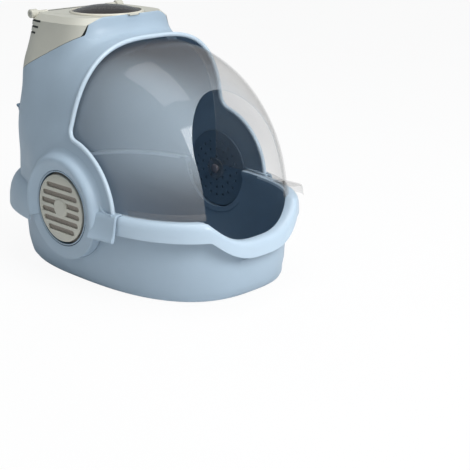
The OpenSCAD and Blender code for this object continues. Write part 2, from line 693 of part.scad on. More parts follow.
module filter_cup_left() on_side(true) filter_cup();
module filter_cup_right() on_side(false) filter_cup();
module carbon_pad_left() on_side(true) carbon_pad();
module carbon_pad_right() on_side(false) carbon_pad();
module vent_grille_left() on_side(true) vent_grille();
module vent_grille_right() on_side(false) vent_grille();
module pivot_stud_left() on_side(true) pivot_stud();
module pivot_stud_right() on_side(false) pivot_stud();

// ---- Visor ------------------------------------------------------------------------------

dome_steps = 36;
ear_in = visor_half_width - visor_wall - 1.6;
band_low = asin((crest + seat) / visor_radius);

// Section of the visor between two offsets from its outer face
module visor_section(inset, outset) polygon(concat(
    dome_section(visor_radius + outset, visor_half_width + outset * 0.5, visor_square, dome_steps),
    [for (i = [dome_steps : -1 : 0]) dome_section(visor_radius - inset, visor_half_width - inset,
        visor_square, dome_steps)[i]]));

// Outline of the entrance, seen from the front
module entrance_outline() polygon(concat(
    [[entrance_half_width, -over], [entrance_half_width, entrance_straight]],
    [for (t = [7.5 : 7.5 : 172.5]) [entrance_half_width * cos(t), entrance_straight + entrance_arch * sin(t)]],
    [[-entrance_half_width, entrance_straight], [-entrance_half_width, -over]]));

band_start = 172;
tab_y = 235;

// Lift tab on the band at the visor's right, over the rim and turned down at its end
module visor_lift_tab() color("LightGray", 0.4) at_pivot() difference() {
    tab_plate();
    turn(-10, 30) polygon(concat([[tab_y / 2, 0]], band_face, [[tab_y / 2, band_face[len(band_face) - 1][1]]]));
}

// Outer face of the visor's seating band with its clearance, where the lift tab sits
band_face = [for (p = dome_section(visor_radius + band_step + seat, visor_half_width + band_step * 0.5 + seat,
    visor_square, dome_steps)) if (p[0] > tab_y / 2 && p[1] > 0) p];

module tab_plate() translate([0, -tab_y, crest + seat]) rotate([90, 0, 0])
    linear_extrude(height = lift_tab_length, center = true) translate([tab_root, 0])
    polygon([[-40, 4], [-40, 6.4], [lift_tab_reach * 0.6, 5.4], [lift_tab_reach * 0.9, 2], [lift_tab_reach, -6],
        [lift_tab_reach + 3, -20], [lift_tab_reach + 0.8, -20], [lift_tab_reach - 2.4, -6],
        [lift_tab_reach * 0.85, 0.4], [lift_tab_reach * 0.6, 3]]);

tab_root = dome_x(tab_y, visor_radius, visor_half_width, visor_square) + 1;

module visor() color("LightGray", 0.4) at_pivot() difference() {
    union() {
        difference() {
            union() {
                turn(0, visor_span) visor_section(visor_wall, 0);
                intersection() {
                    turn(0, asin((crest + seat + band_height) / visor_radius)) visor_section(visor_wall / 2, band_step);
                    translate([-visor_radius, -2 * visor_radius, 0])
                        cube([2 * visor_radius, 2 * visor_radius - band_start, visor_radius]);
                }
            }
            translate([-visor_radius, -2 * visor_radius, -over])
                cube([2 * visor_radius, 2 * visor_radius, crest + seat + over]);
            translate([0, -entrance_straight, 0]) rotate([90, 0, 0])
                linear_extrude(height = visor_radius) entrance_outline();
        }
        both_sides() rotate([0, 90, 0]) translate([0, 0, ear_in])
            cylinder(r = pivot_boss_radius, h = visor_half_width - ear_in);
    }
    both_sides() rotate([0, 90, 0]) translate([0, 0, ear_in - over])
        cylinder(r = stud_radius + running_gap, h = visor_half_width - ear_in + 2 * over);
}

// ---- Deodorizer -------------------------------------------------------------------------

hinge_v = tower_top_v - 5;
lid_top = hinge_v + 2.5;
lid_low = lid_top - lid_plate;
housing_top = lid_top - seat;
ledge_top = lid_low - seat;
knuckle_in = tower_half_width - 22;
barrel_length = 26;
barrel_radius = 5.5;
screw_radius = 1.5;

// Plan outline of the lid: round at the lens, widening to the hinge
module lid_outline(grow) {
    translate([0, lens_y]) circle(r = lid_radius + grow);
    polygon([[-lid_radius - grow, lens_y], [-knuckle_in + 1 - grow, hinge_y - 6], [-knuckle_in + 1 - grow, hinge_y + grow],
        [knuckle_in - 1 + grow, hinge_y + grow], [knuckle_in - 1 + grow, hinge_y - 6], [lid_radius + grow, lens_y]]);
}

vent_rows = 3;
vent_step = 12;
vent_gap = 3.4;

module deodorizer_housing() color(warm_beige) at_pivot() difference() {
    union() {
        difference() {
            ring_loft([for (v = [seam_at(hood_rear) - 12 : 28 : housing_top - 14]) column_ring(v, 0),
                column_ring(housing_top - 9, 1.2), column_ring(housing_top - 4, 3.6),
                column_ring(housing_top - 1, 7.5), column_ring(housing_top, 11)]);
            below_seam(seam);
            ring_loft([column_ring(seam_at(hood_rear) - 14, housing_wall), column_ring(ledge_top - 60, housing_wall),
                column_ring(ledge_top - 11, housing_wall + 1), column_ring(ledge_top - housing_wall, housing_wall + 8)]);
            translate([0, 0, ledge_top]) linear_extrude(height = 40) lid_outline(seam);
        }
        for (s = [-1, 1]) translate([s * (knuckle_in + knuckle_length / 2), hinge_y, hinge_v]) rotate([0, 90, 0])
            cylinder(r = knuckle_radius, h = knuckle_length, center = true);
    }
    translate([0, lens_y, ledge_top - 20]) cylinder(r = basket_radius + seam, h = 40);
    for (s = [-1, 1], k = [0 : vent_rows - 1])
        translate([s * (tower_half_width - 4), hinge_y + 2, hinge_v - knuckle_radius - 2.5 - vent_step * k])
        cube([36, 34, vent_gap], center = true);
    translate([-tower_half_width - 20, hinge_y, hinge_v]) rotate([0, 90, 0])
        cylinder(r = hinge_pin_radius, h = 2 * tower_half_width + 40);
    translate([-knuckle_in + over, hinge_y - 8, ledge_top - 7]) cube([2 * (knuckle_in - over), 16, 30]);
}

// Places a lid hinge pin's or barrel's axis
module at_hinge() translate([0, hinge_y, hinge_v]) rotate([0, 90, 0]) children();

module hinge_pin() color("Silver") at_pivot() at_hinge()
    translate([0, 0, knuckle_in - barrel_length]) cylinder(r = hinge_pin_radius, h = barrel_length + knuckle_length - 1);

module hinge_pin_left() on_side(true) hinge_pin();
module hinge_pin_right() on_side(false) hinge_pin();

module deodorizer_lid() color(warm_beige) at_pivot() difference() {
    union() {
        translate([0, 0, lid_low]) linear_extrude(height = lid_plate) difference() {
            lid_outline(0);
            translate([0, lens_y]) circle(r = lens_radius - 2);
        }
        both_sides() at_hinge() translate([0, 0, knuckle_in - barrel_length]) cylinder(r = barrel_radius, h = barrel_length - 1);
    }
    both_sides() at_hinge() translate([0, 0, knuckle_in - barrel_length - over])
        cylinder(r = hinge_pin_radius + running_gap, h = barrel_length + 2 * over);
}

module lens_bezel() color("Linen") at_pivot() translate([0, lens_y, lid_top]) rotate_extrude()
    polygon([[lens_radius + seat, 0], [bezel_radius, 0], [bezel_radius, 1], [bezel_radius - 1.5, 3],
        [lens_radius + 1.5, 4], [lens_radius + seat, 3.4]]);

// Height of the lens's outer face at radius r from its middle
lens_wall = 2;
lens_sphere = (lens_radius * lens_radius + lens_rise * lens_rise) / (2 * lens_rise);
function lens_at(r) = sqrt(lens_sphere * lens_sphere - r * r) - lens_sphere + lens_rise;

module smoked_lens() color("Sienna", 0.8) at_pivot() translate([0, lens_y, lid_top]) rotate_extrude()
    polygon(concat([for (k = [0 : 8]) let (r = lens_radius * k / 8) [r, lens_at(r) + lens_wall]],
        [for (k = [8 : -1 : 0]) let (r = lens_radius * k / 8) [r, lens_at(r)]]));

module lid_finger_tab() color(warm_beige) at_pivot()
    translate([-tab_half_width, tab_front, lid_top])
    cube([2 * tab_half_width, lens_y - bezel_radius - seat - tab_front, 3]);

basket_wall = 2;
basket_lip = 3;

// Perforated basket that hangs in the housing's round hole
module charcoal_basket() color("Gainsboro") at_pivot() translate([0, lens_y, ledge_top - basket_depth]) difference() {
    union() {
        cylinder(r = basket_radius, h = basket_depth);
        translate([0, 0, basket_depth]) cylinder(r = basket_radius + basket_lip, h = basket_wall);
    }
    translate([0, 0, basket_wall]) cylinder(r = basket_radius - basket_wall, h = basket_depth + basket_wall);
    for (ring = [[16, 6], [32, 10], [48, 14]], k = [1 : ring[1]]) rotate([0, 0, 360 * k / ring[1]])
        translate([ring[0], 0, -over]) cylinder(r = 3.5, h = basket_wall + 2 * over);
}

module charcoal_fill() color("DimGray") at_pivot() translate([0, lens_y, ledge_top - basket_depth + basket_wall + seat])
    cylinder(r = basket_radius - basket_wall - seat, h = basket_depth - basket_wall - 4);

// Slotted disc on the deck over the vent hole
module deck_vent() color(body_blue) at_pivot() on_deck() translate([0, 0, seat]) difference() {
    cylinder(r = deck_vent_radius + 5, h = 2);
    for (k = [-2 : 2]) translate([-deck_vent_radius * 0.8, k * 13 - 3, -over]) cube([deck_vent_radius * 1.6, 6, 2 + 2 * over]);
}

// ---- Scoop pocket -----------------------------------------------------------------------

pocket_root = 236;
pocket_low = pocket_top - pivot_height - pocket_height;
pocket_taper = 13;
pocket_square = 7;
pocket_steps = 40;

// Ring of the pocket's outside at height v, inset by i
function pocket_ring(v, i) =
    let (t = (pocket_top - pivot_height - v) / pocket_height, half = pocket_half_width - 5 * t - i,
        out = pocket_reach - pocket_lip - pocket_taper * t - i, mid = (pocket_root + out) / 2, deep = (out - pocket_root) / 2)
    [for (j = [0 : pocket_steps - 1]) let (a = 360 * j / pocket_steps)
        [half * spow(cos(a), 2 / pocket_square), mid + deep * spow(sin(a), 2 / pocket_square), v]];

// What is within gap of the hood's rear wall
module rear_wall(gap) ring_loft([for (k = [-1 : 4]) let (v = pocket_low + pocket_height * k / 3)
    [for (a = [0 : 5 : 180]) let (r = wall_reach(a, v, 0) + gap) [r * cos(a), r * sin(a), v]]]);

// Open pocket for the scoop, tapering down the hood's rear
module scoop_pocket() color(body_blue) at_pivot() difference() {
    ring_loft([pocket_ring(pocket_low, 5), pocket_ring(pocket_low + 1.5, 2), pocket_ring(pocket_low + 5, 0),
        pocket_ring(pocket_top - pivot_height - 5, 0), pocket_ring(pocket_top - pivot_height - 4, -pocket_lip),
        pocket_ring(pocket_top - pivot_height, -pocket_lip)]);
    difference() {
        ring_loft([pocket_ring(pocket_low + pocket_wall, pocket_wall + 2), pocket_ring(pocket_low + 7, pocket_wall),
            pocket_ring(pocket_top - pivot_height + over, pocket_wall)]);
        rear_wall(2 * seat + pocket_wall);
    }
    rear_wall(2 * seat);
}

// ---- Drawing ----------------------------------------------------------------------------

litter_tray();
hood_shell();
hub_surround_left();
hub_surround_right();
scoop_pocket();
filter_cup_left();
filter_cup_right();
carbon_pad_left();
carbon_pad_right();
vent_grille_left();
vent_grille_right();
pivot_stud_left();
pivot_stud_right();
visor();
visor_lift_tab();
deodorizer_housing();
deck_vent();
charcoal_basket();
charcoal_fill();
hinge_pin_left();
hinge_pin_right();
deodorizer_lid();
lens_bezel();
smoked_lens();
lid_finger_tab();
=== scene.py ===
"""Hooded cat litter box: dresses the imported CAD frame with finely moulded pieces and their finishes.

Shapes are worked out in millimetres about the visor's pivot axis (x across, y to the rear, v up)
and placed in the row frame in metres by `place`.
"""
import json
import logging
import math
from dataclasses import dataclass
from enum import Enum
from typing import Callable, Optional, Sequence, Union

import bmesh
import bpy
import numpy as np
from bpy.types import Material, Mesh, Node, NodeSocket as Socket, Object
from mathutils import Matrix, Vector

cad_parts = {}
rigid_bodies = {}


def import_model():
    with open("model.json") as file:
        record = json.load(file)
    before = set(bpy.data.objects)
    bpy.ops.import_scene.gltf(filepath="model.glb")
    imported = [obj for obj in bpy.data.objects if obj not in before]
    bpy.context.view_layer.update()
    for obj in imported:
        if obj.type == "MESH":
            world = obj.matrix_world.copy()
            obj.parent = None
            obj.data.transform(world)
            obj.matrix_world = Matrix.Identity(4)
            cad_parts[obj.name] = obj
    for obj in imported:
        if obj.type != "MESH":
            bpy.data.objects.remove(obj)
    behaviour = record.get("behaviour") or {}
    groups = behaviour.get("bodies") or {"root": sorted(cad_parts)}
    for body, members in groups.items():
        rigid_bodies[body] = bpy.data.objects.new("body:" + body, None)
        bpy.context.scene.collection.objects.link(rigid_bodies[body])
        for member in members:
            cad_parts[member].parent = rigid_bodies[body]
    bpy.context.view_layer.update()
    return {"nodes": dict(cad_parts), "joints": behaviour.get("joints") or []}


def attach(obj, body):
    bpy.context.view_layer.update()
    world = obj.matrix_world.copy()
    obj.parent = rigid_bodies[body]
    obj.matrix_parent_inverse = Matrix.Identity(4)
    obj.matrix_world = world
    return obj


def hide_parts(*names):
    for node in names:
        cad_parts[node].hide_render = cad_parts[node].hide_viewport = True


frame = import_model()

log = logging.getLogger("litter_box")
MM = 0.001
PIVOT_HEIGHT = 156.0
HUB_Y = next(j for j in frame["joints"] if j["name"] == "visor_swing")["pos_m"][1] / MM

Value = Union[float, np.ndarray]
Outline = Sequence[Sequence[float]]
Solid = tuple[np.ndarray, list[tuple[int, ...]]]
Colour = tuple[float, float, float, float]


class Body(str, Enum):
    """The bodies that pieces ride on."""

    TRAY = "tray"
    HOOD = "hood"
    VISOR = "visor"
    LID = "lid"
    VENT_LEFT = "vent_cover_left"
    VENT_RIGHT = "vent_cover_right"


class Side(Enum):
    """Left or right of the box, with the sign of x there."""

    LEFT = -1
    RIGHT = 1

    @property
    def word(self) -> str:
        """The word used in node names."""
        return "left" if self is Side.LEFT else "right"


# ---- Measures shared by the pieces ----


@dataclass(frozen=True)
class Measures:
    """Driving sizes in millimetres, the same as the CAD source's."""

    visor_radius: float = 307.0
    visor_half: float = 205.0
    square: float = 3.0
    visor_wall: float = 2.4
    visor_span: float = 88.0
    visor_open: float = 52.0
    hood_radius: float = 319.0
    hood_half: float = 213.0
    wall: float = 3.0
    edge_angle: float = 84.5
    hood_rear: float = 293.0
    tower_top: float = 356.0
    crest_rise: float = 8.0
    crest_fall: float = 21.0
    tower_half: float = 127.0
    tower_front: float = 30.0
    tower_rear: float = 240.0
    shoulder: float = 319.5
    deck_slope: float = 0.487
    collar_back: float = 40.0
    deck_front: float = 52.0
    crest: float = 12.0
    tray_half: float = 205.0
    tray_front: float = 321.0
    tray_rear: float = 286.0
    rim_flare: float = 18.0
    lobe_radius: float = 142.0
    cup_radius: float = 75.5
    grille_radius: float = 70.0
    seat: float = 0.3


M = Measures()
DECK_TURN = math.atan(M.deck_slope)
DECK_REACH = (M.shoulder + M.deck_slope * M.deck_front) * math.cos(DECK_TURN)


def mix(a: Value, b: Value, t: Value) -> Value:
    """Value between a and b by the share t."""
    return a + (b - a) * t


def smooth(a: float, b: float, v: Value) -> Value:
    """Smooth step: 0 before a, 1 after b."""
    t = np.clip((np.asarray(v, float) - a) / (b - a), 0, 1)
    return t * t * (3 - 2 * t)


def spow(v: Value, p: float) -> np.ndarray:
    """Power that keeps the sign of its base."""
    v = np.asarray(v, float)
    return np.sign(v) * np.abs(v) ** p


def soft_min(f: Value, g: Value, k: Value) -> np.ndarray:
    """Smallest of f and g, rounded where they are within k of each other."""
    h = np.maximum(k - np.abs(f - g), 0) / k
    return np.minimum(f, g) - h * h * k / 4


def dome_x(r: Value, radius: float, half: float) -> np.ndarray:
    """Half width of a dome at radius r from the pivot axis."""
    share = np.minimum(1, np.asarray(r, float) / radius)
    return half * np.maximum(0, 1 - share ** M.square) ** (1 / M.square)


def search(kept: Callable[[np.ndarray], np.ndarray], low: np.ndarray, high: np.ndarray,
           rounds: int = 22) -> tuple[np.ndarray, np.ndarray]:
    """Closes in on a surface between two distances by halves.

    Args:
        kept: Tells which distances lie on the side of low.
        low: First distances.
        high: Last distances.
        rounds: How often the way between them is halved.

    Returns:
        The distances just before and just after the surface.
    """
    for _ in range(rounds):
        mid = (low + high) / 2
        here = kept(mid)
        low, high = np.where(here, mid, low), np.where(here, high, mid)
    return low, high


def place(points: np.ndarray) -> np.ndarray:
    """Points in millimetres about the pivot axis, moved to the row frame in metres."""
    p = np.asarray(points, float).reshape(-1, 3)
    return (p + (0, HUB_Y, PIVOT_HEIGHT)) * MM


class HoodForm:
    """The hood's outer and inner surface as a field about the pivot axis: dome, tower and deck."""

    blend = 24.0
    fade = (M.visor_span + M.visor_open - 3, 166.0)
    rear_inset = 19.0
    deck_wall = 2.5
    deck_spare = 12.0

    @staticmethod
    def share(v: Value) -> np.ndarray:
        """Share of the tower's height, from the rim to its top."""
        return np.clip((np.asarray(v, float) - M.crest) / (M.tower_top - M.crest), 0, 1)

    def half(self, v: Value) -> np.ndarray:
        """Half width of the tower's plan section at height v."""
        return mix(M.tower_half, M.hood_half - 4, (1 - self.share(v) ** 2.4) ** 1.85)

    def rear(self, v: Value) -> np.ndarray:
        """Rear of the tower's plan section at height v."""
        return mix(M.tower_rear, M.hood_rear, (1 - self.share(v) ** 2) ** 1.6)

    def front(self, v: Value) -> np.ndarray:
        """Front of the tower's plan section at height v."""
        s = self.share(v)
        return mix(mix(-250, M.tower_front - 10, smooth(0.38, 0.75, s)), M.tower_front, smooth(0.8, 1, s))

    def square(self, v: Value) -> np.ndarray:
        """Squareness of the tower's plan section at height v."""
        return 2.2 + 1.6 * self.share(v) ** 1.3

    def softness(self, y: Value, v: Value) -> np.ndarray:
        """How widely dome and tower blend: hardly near the hubs, fully further out."""
        return mix(1, self.blend, smooth(M.lobe_radius + 10, M.hood_radius - 50, np.hypot(y, v)))

    def column(self, x: Value, y: Value, v: Value, i: float) -> np.ndarray:
        """The tower as a field.

        Args:
            x, y, v: The place.
            i: Inset of the surface.

        Returns:
            Below zero inside the tower.
        """
        rear, front, n, half = self.rear(v), self.front(v), self.square(v), self.half(v) - i
        mid, deep = (rear + front) / 2, (rear - front) / 2 - i
        ring = (np.abs(x) / half) ** n + (np.abs(y - mid) / deep) ** n
        return (ring ** (1 / n) - 1) * np.minimum(half, deep)

    def dome(self, x: Value, y: Value, v: Value, i: float) -> np.ndarray:
        """The dome over the visor as a field.

        Args:
            x, y, v: The place.
            i: Inset of the surface.

        Returns:
            Below zero inside the dome.
        """
        fade = smooth(self.fade[0], self.fade[1], np.degrees(np.arctan2(v, -y)))
        radius = M.hood_radius - i - fade * (M.hood_radius - M.hood_rear + self.rear_inset)
        half = M.hood_half - i - fade * 5
        ring = (np.abs(x) / half) ** M.square + (np.hypot(y, v) / radius) ** M.square
        return (ring ** (1 / M.square) - 1) * radius

    def field(self, x: Value, y: Value, v: Value, i: float) -> np.ndarray:
        """The whole hood as a field, cut along the deck.

        Args:
            x, y, v: The place.
            i: Inset of the surface.

        Returns:
            Below zero inside the hood.
        """
        reach = DECK_REACH - self.deck_wall if i > 0 else DECK_REACH + self.deck_spare
        deck = y * math.sin(DECK_TURN) + v * math.cos(DECK_TURN) - reach
        cap = v - (M.hood_radius - 3) + i - np.maximum(0, y - M.collar_back)
        tower = np.maximum(self.column(x, y, v, i), cap)
        return np.maximum(deck, soft_min(self.dome(x, y, v, i), tower, self.softness(y, v)))

    def flow(self, x: Value, y: Value, v: Value) -> np.ndarray:
        """Below zero inside the dome and the whole tower, blended into each other."""
        return soft_min(self.dome(x, y, v, 0.0), self.column(x, y, v, 0.0), self.softness(y, v))

    def strike(self, start: np.ndarray, way: np.ndarray, far: float) -> np.ndarray:
        """Points where rays from outside meet the blended dome and tower.

        Args:
            start: Where the rays begin.
            way: Their directions.
            far: How far they go.

        Returns:
            The points.
        """
        def outside(mid: np.ndarray) -> np.ndarray:
            """Which rays are still outside at the distances mid."""
            p = start + way * mid[..., None]
            return ~(self.flow(p[..., 0], p[..., 1], p[..., 2]) < 0)

        met = search(outside, np.zeros(start.shape[:-1]), np.full(start.shape[:-1], far))[1]
        return start + way * met[..., None]

    def reach(self, d: np.ndarray, i: float) -> np.ndarray:
        """Points where rays from the pivot axis leave the hood.

        Args:
            d: Their directions.
            i: Inset of the surface.

        Returns:
            The points.
        """
        def inside(mid: np.ndarray) -> np.ndarray:
            """Which rays are still inside at the distances mid."""
            p = d * mid[..., None]
            return self.field(p[..., 0], p[..., 1], p[..., 2], i) < 0

        low, high = search(inside, np.full(d.shape[:-1], 60.0), np.full(d.shape[:-1], 480.0))
        return d * ((low + high) / 2)[..., None]

    def wall(self, a: np.ndarray, v: Value, i: float) -> np.ndarray:
        """Points on the hood's wall.

        Args:
            a: Plan directions in radians.
            v: Heights.
            i: Inset of the surface.

        Returns:
            The points.
        """
        low, high = search(lambda mid: self.field(mid * np.cos(a), mid * np.sin(a), v, i) < 0,
                           np.full(a.shape, 60.0), np.full(a.shape, 400.0), 20)
        r = (low + high) / 2
        return np.stack([r * np.cos(a), r * np.sin(a), v + 0 * a], -1)

    def ring(self, v: float, i: float, steps: int = 128) -> np.ndarray:
        """Ring of points on the tower's wall.

        Args:
            v: Its height.
            i: Inset of the surface.
            steps: How many points it has.

        Returns:
            The points.
        """
        t = np.linspace(0, 2 * np.pi, steps, endpoint=False)
        n, half = self.square(v), self.half(v) - i
        mid, deep = (self.rear(v) + self.front(v)) / 2, (self.rear(v) - self.front(v)) / 2 - i
        return np.stack([half * spow(np.cos(t), 2 / n), mid + deep * spow(np.sin(t), 2 / n), v + 0 * t], -1)


def seam_at(y: Value) -> Value:
    """Height of the seam between the hood and the deodorizer, y behind the pivots."""
    return mix(M.tower_top, M.shoulder - M.deck_slope * (np.asarray(y, float) - M.deck_front),
               smooth(M.collar_back, M.deck_front, y))


def crest_at(x: Value) -> Value:
    """Height of the collar's crest at x from the middle."""
    return M.tower_top + M.crest_rise - M.crest_fall * (np.abs(x) / (0.8 * M.tower_half)) ** 3


# ---- Finishes ----


def linear(rgb: Sequence[float]) -> Colour:
    """A display colour of 0 to 255 as a linear colour with alpha 1."""
    c = [(v / 255) / 12.92 if v / 255 <= 0.04045 else ((v / 255 + 0.055) / 1.055) ** 2.4 for v in rgb]
    return (c[0], c[1], c[2], 1.0)


class Tree:
    """A node tree, with short calls that add nodes to it."""

    tree: bpy.types.NodeTree

    def add(self, kind: str, **values: object) -> Node:
        """Adds a node.

        Args:
            kind: Its type.
            **values: Its properties by name, and links or values by input name with in_ before it.

        Returns:
            The node.
        """
        node = self.tree.nodes.new(kind)
        for key, value in values.items():
            if not key.startswith("in_"):
                setattr(node, key, value)
        for key, value in values.items():
            if key.startswith("in_"):
                self.feed(node.inputs[key[3:].replace("_", " ")], value)
        return node

    def feed(self, socket: Socket, value: object) -> None:
        """Sets an input's value, or links an output to it.

        Args:
            socket: The input.
            value: The value or the output.
        """
        if isinstance(value, Socket):
            self.tree.links.new(value, socket)
        else:
            socket.default_value = value

    def math(self, operation: str, a: Union[Socket, float], b: Union[Socket, float] = 0.0) -> Socket:
        """Adds a Math node.

        Args:
            operation: What it does.
            a: The first value.
            b: The second value.

        Returns:
            The result.
        """
        node = self.add("ShaderNodeMath", operation=operation)
        self.feed(node.inputs[0], a)
        self.feed(node.inputs[1], b)
        return node.outputs[0]


class Nodes(Tree):
    """A material's node tree, with short calls for what the finishes share."""

    def __init__(self, name: str) -> None:
        """Makes the material with a Principled shader.

        Args:
            name: The material's name.
        """
        self.material = bpy.data.materials.new(name)
        self.material.use_nodes = True
        self.tree = self.material.node_tree
        self.shader = self.tree.nodes["Principled BSDF"]
        self.coords = self.add("ShaderNodeTexCoord").outputs["Object"]

    def link(self, out: Socket, into: Socket) -> None:
        """Links two sockets."""
        self.tree.links.new(out, into)

    def noise(self, scale: float, detail: float = 3.0, rough: float = 0.55) -> Node:
        """Noise on Object coordinates.

        Args:
            scale: Cells per metre.
            detail: Octaves of the noise.
            rough: How strong the finer octaves are.

        Returns:
            The noise node.
        """
        return self.add("ShaderNodeTexNoise", in_Scale=scale, in_Detail=detail, in_Roughness=rough,
                        in_Vector=self.coords)

    def tint(self, source: Socket, low: Colour, high: Colour,
             span: tuple[float, float] = (0.35, 0.65)) -> None:
        """Base colour between two linear colours.

        Args:
            source: The value that decides.
            low: Colour of a low value.
            high: Colour of a high value.
            span: Where the change begins and ends.
        """
        ramp = self.add("ShaderNodeValToRGB", in_Fac=source)
        ramp.color_ramp.elements[0].position, ramp.color_ramp.elements[1].position = span
        ramp.color_ramp.elements[0].color, ramp.color_ramp.elements[1].color = low, high
        self.link(ramp.outputs["Color"], self.shader.inputs["Base Color"])

    def rough_between(self, source: Socket, low: float, high: float) -> None:
        """Roughness between two values.

        Args:
            source: The value that decides.
            low: Roughness of a low value.
            high: Roughness of a high value.
        """
        span = self.add("ShaderNodeMapRange", in_Value=source, in_To_Min=low, in_To_Max=high)
        self.link(span.outputs["Result"], self.shader.inputs["Roughness"])

    def bump(self, source: Socket, strength: float, depth: float) -> None:
        """Bump from a source height.

        Args:
            source: The height's socket.
            strength: The bump's strength.
            depth: The height of a full value, in metres.
        """
        node = self.add("ShaderNodeBump", in_Strength=strength, in_Distance=depth, in_Height=source)
        self.link(node.outputs["Normal"], self.shader.inputs["Normal"])

    def span(self, source: Socket, given: tuple[float, float], wanted: tuple[float, float]) -> Socket:
        """A value moved smoothly from one range to another.

        Args:
            source: The value.
            given: Its range.
            wanted: The range that it is moved to.

        Returns:
            The moved value.
        """
        node = self.add("ShaderNodeMapRange", interpolation_type="SMOOTHSTEP", in_Value=source,
                        in_From_Min=given[0], in_From_Max=given[1], in_To_Min=wanted[0], in_To_Max=wanted[1])
        return node.outputs["Result"]

    def set(self, **values: float) -> None:
        """Values on the shader's own sockets, named with underscores for spaces."""
        for key, value in values.items():
            self.shader.inputs[key.replace("_", " ")].default_value = value


def shade(colour: Colour, gain: float) -> Colour:
    """A linear colour made lighter or darker."""
    return (min(1, colour[0] * gain), min(1, colour[1] * gain), min(1, colour[2] * gain), 1.0)


@dataclass(frozen=True)
class MouldedPlastic:
    """Opaque injection-moulded plastic with a fine moulded grain and a faint mottle."""

    name: str
    colour: tuple[int, int, int]
    rough: float = 0.42
    mottle: float = 0.05
    grain: float = 0.08
    specular: float = 0.45

    def make(self) -> Material:
        """Makes the material.

        Returns:
            The material.
        """
        n, base = Nodes(self.name), linear(self.colour)
        patches = n.noise(9.0, 4.0)
        n.tint(patches.outputs["Fac"], shade(base, 1 - self.mottle), shade(base, 1 + self.mottle))
        n.rough_between(n.noise(38.0, 5.0).outputs["Fac"], self.rough - 0.05, self.rough + 0.07)
        n.bump(n.noise(1500.0, 2.0, 0.7).outputs["Fac"], self.grain, 0.00025)
        n.set(Specular_IOR_Level=self.specular)
        return n.material


@dataclass(frozen=True)
class ClearPlastic:
    """Clear plastic with a slight smoke, seen through as a thin haze; its optional sheen is a painted
    reflection: a pale colour with extra opacity painted on the faces turned to the viewer, stronger higher
    up.
    """

    name: str
    colour: tuple[int, int, int]
    alpha: float
    edge: float
    rough: float = 0.09
    coat: float = 0.45
    # Painted reflection: the sheen colour and the opacity it adds, painted on the faces turned to the viewer.
    sheen: Optional[tuple[int, int, int]] = None
    sheen_alpha: float = 0.0
    sheen_low: float = 0.17
    sheen_high: float = 0.3

    def make(self) -> Material:
        """Makes the material.

        Returns:
            The material.
        """
        n, base = Nodes(self.name), linear(self.colour)
        haze = n.noise(5.0, 3.0)
        n.tint(haze.outputs["Fac"], shade(base, 0.94), shade(base, 1.06))
        n.rough_between(n.noise(26.0, 4.0).outputs["Fac"], self.rough * 0.7, self.rough * 1.4)
        edge = n.add("ShaderNodeLayerWeight", in_Blend=0.25)
        alpha = n.span(edge.outputs["Facing"], (0, 1), (self.alpha, self.edge))
        if self.sheen:
            alpha = self.shine(n, alpha)
        n.link(alpha, n.shader.inputs["Alpha"])
        n.set(Coat_Weight=self.coat, Coat_Roughness=0.08)
        return n.material

    def shine(self, n: Nodes, alpha: Socket) -> Socket:
        """Adds the painted sheen, a painted reflection: a pale colour and extra opacity on the parts that
        face the viewer, stronger higher up.

        Args:
            n: The material's nodes.
            alpha: The socket of the alpha without the sheen.

        Returns:
            The socket of the alpha with it.
        """
        facing = n.add("ShaderNodeLayerWeight", in_Blend=0.5)
        split = n.add("ShaderNodeSeparateXYZ", in_Vector=n.coords)
        near = n.span(facing.outputs["Facing"], (0.1, 0.72), (1, 0))
        height = n.span(split.outputs["Z"], (self.sheen_low, self.sheen_high), (0.1, 1))
        weight = n.math("MULTIPLY", near, height)
        blend = n.add("ShaderNodeMix", data_type="RGBA")
        colour = n.shader.inputs["Base Color"]
        n.link(weight, blend.inputs[0])
        n.link(colour.links[0].from_socket, blend.inputs[6])
        blend.inputs[7].default_value = linear(self.sheen)
        n.link(blend.outputs[2], colour)
        return n.math("ADD", alpha, n.math("MULTIPLY", weight, self.sheen_alpha))


@dataclass(frozen=True)
class Granular:
    """Dark broken grains, such as charcoal."""

    name: str
    low: tuple[int, int, int]
    high: tuple[int, int, int]
    cell: float = 260.0

    def make(self) -> Material:
        """Makes the material.

        Returns:
            The material.
        """
        n = Nodes(self.name)
        cells = n.add("ShaderNodeTexVoronoi", in_Scale=self.cell, in_Vector=n.coords)
        n.tint(cells.outputs["Color"], linear(self.low), linear(self.high), (0.1, 0.9))
        n.bump(cells.outputs["Distance"], 0.7, 0.002)
        n.set(Roughness=0.62)
        return n.material


@dataclass(frozen=True)
class Screen:
    """Fine woven screen or felt, with a crossing weave."""

    name: str
    low: tuple[int, int, int]
    high: tuple[int, int, int]
    pitch: float = 420.0

    def make(self) -> Material:
        """Makes the material.

        Returns:
            The material.
        """
        n = Nodes(self.name)
        waves = []
        for direction in ("Y", "Z"):
            wave = n.add("ShaderNodeTexWave", wave_type="BANDS", bands_direction=direction,
                         in_Scale=self.pitch, in_Distortion=0.4, in_Vector=n.coords)
            waves.append(wave.outputs["Fac"])
        weave = n.math("MULTIPLY", *waves)
        n.tint(weave, linear(self.low), linear(self.high), (0.1, 0.8))
        n.bump(weave, 0.4, 0.0006)
        n.set(Roughness=0.8)
        return n.material


@dataclass(frozen=True)
class TurnedSteel:
    """Steel with fine turning marks."""

    name: str
    rough: float = 0.3

    def make(self) -> Material:
        """Makes the material.

        Returns:
            The material.
        """
        n = Nodes(self.name)
        marks = n.noise(700.0, 2.0)
        n.tint(marks.outputs["Fac"], linear((150, 152, 155)), linear((190, 192, 195)))
        n.rough_between(marks.outputs["Fac"], self.rough - 0.08, self.rough + 0.1)
        n.set(Metallic=1.0)
        return n.material


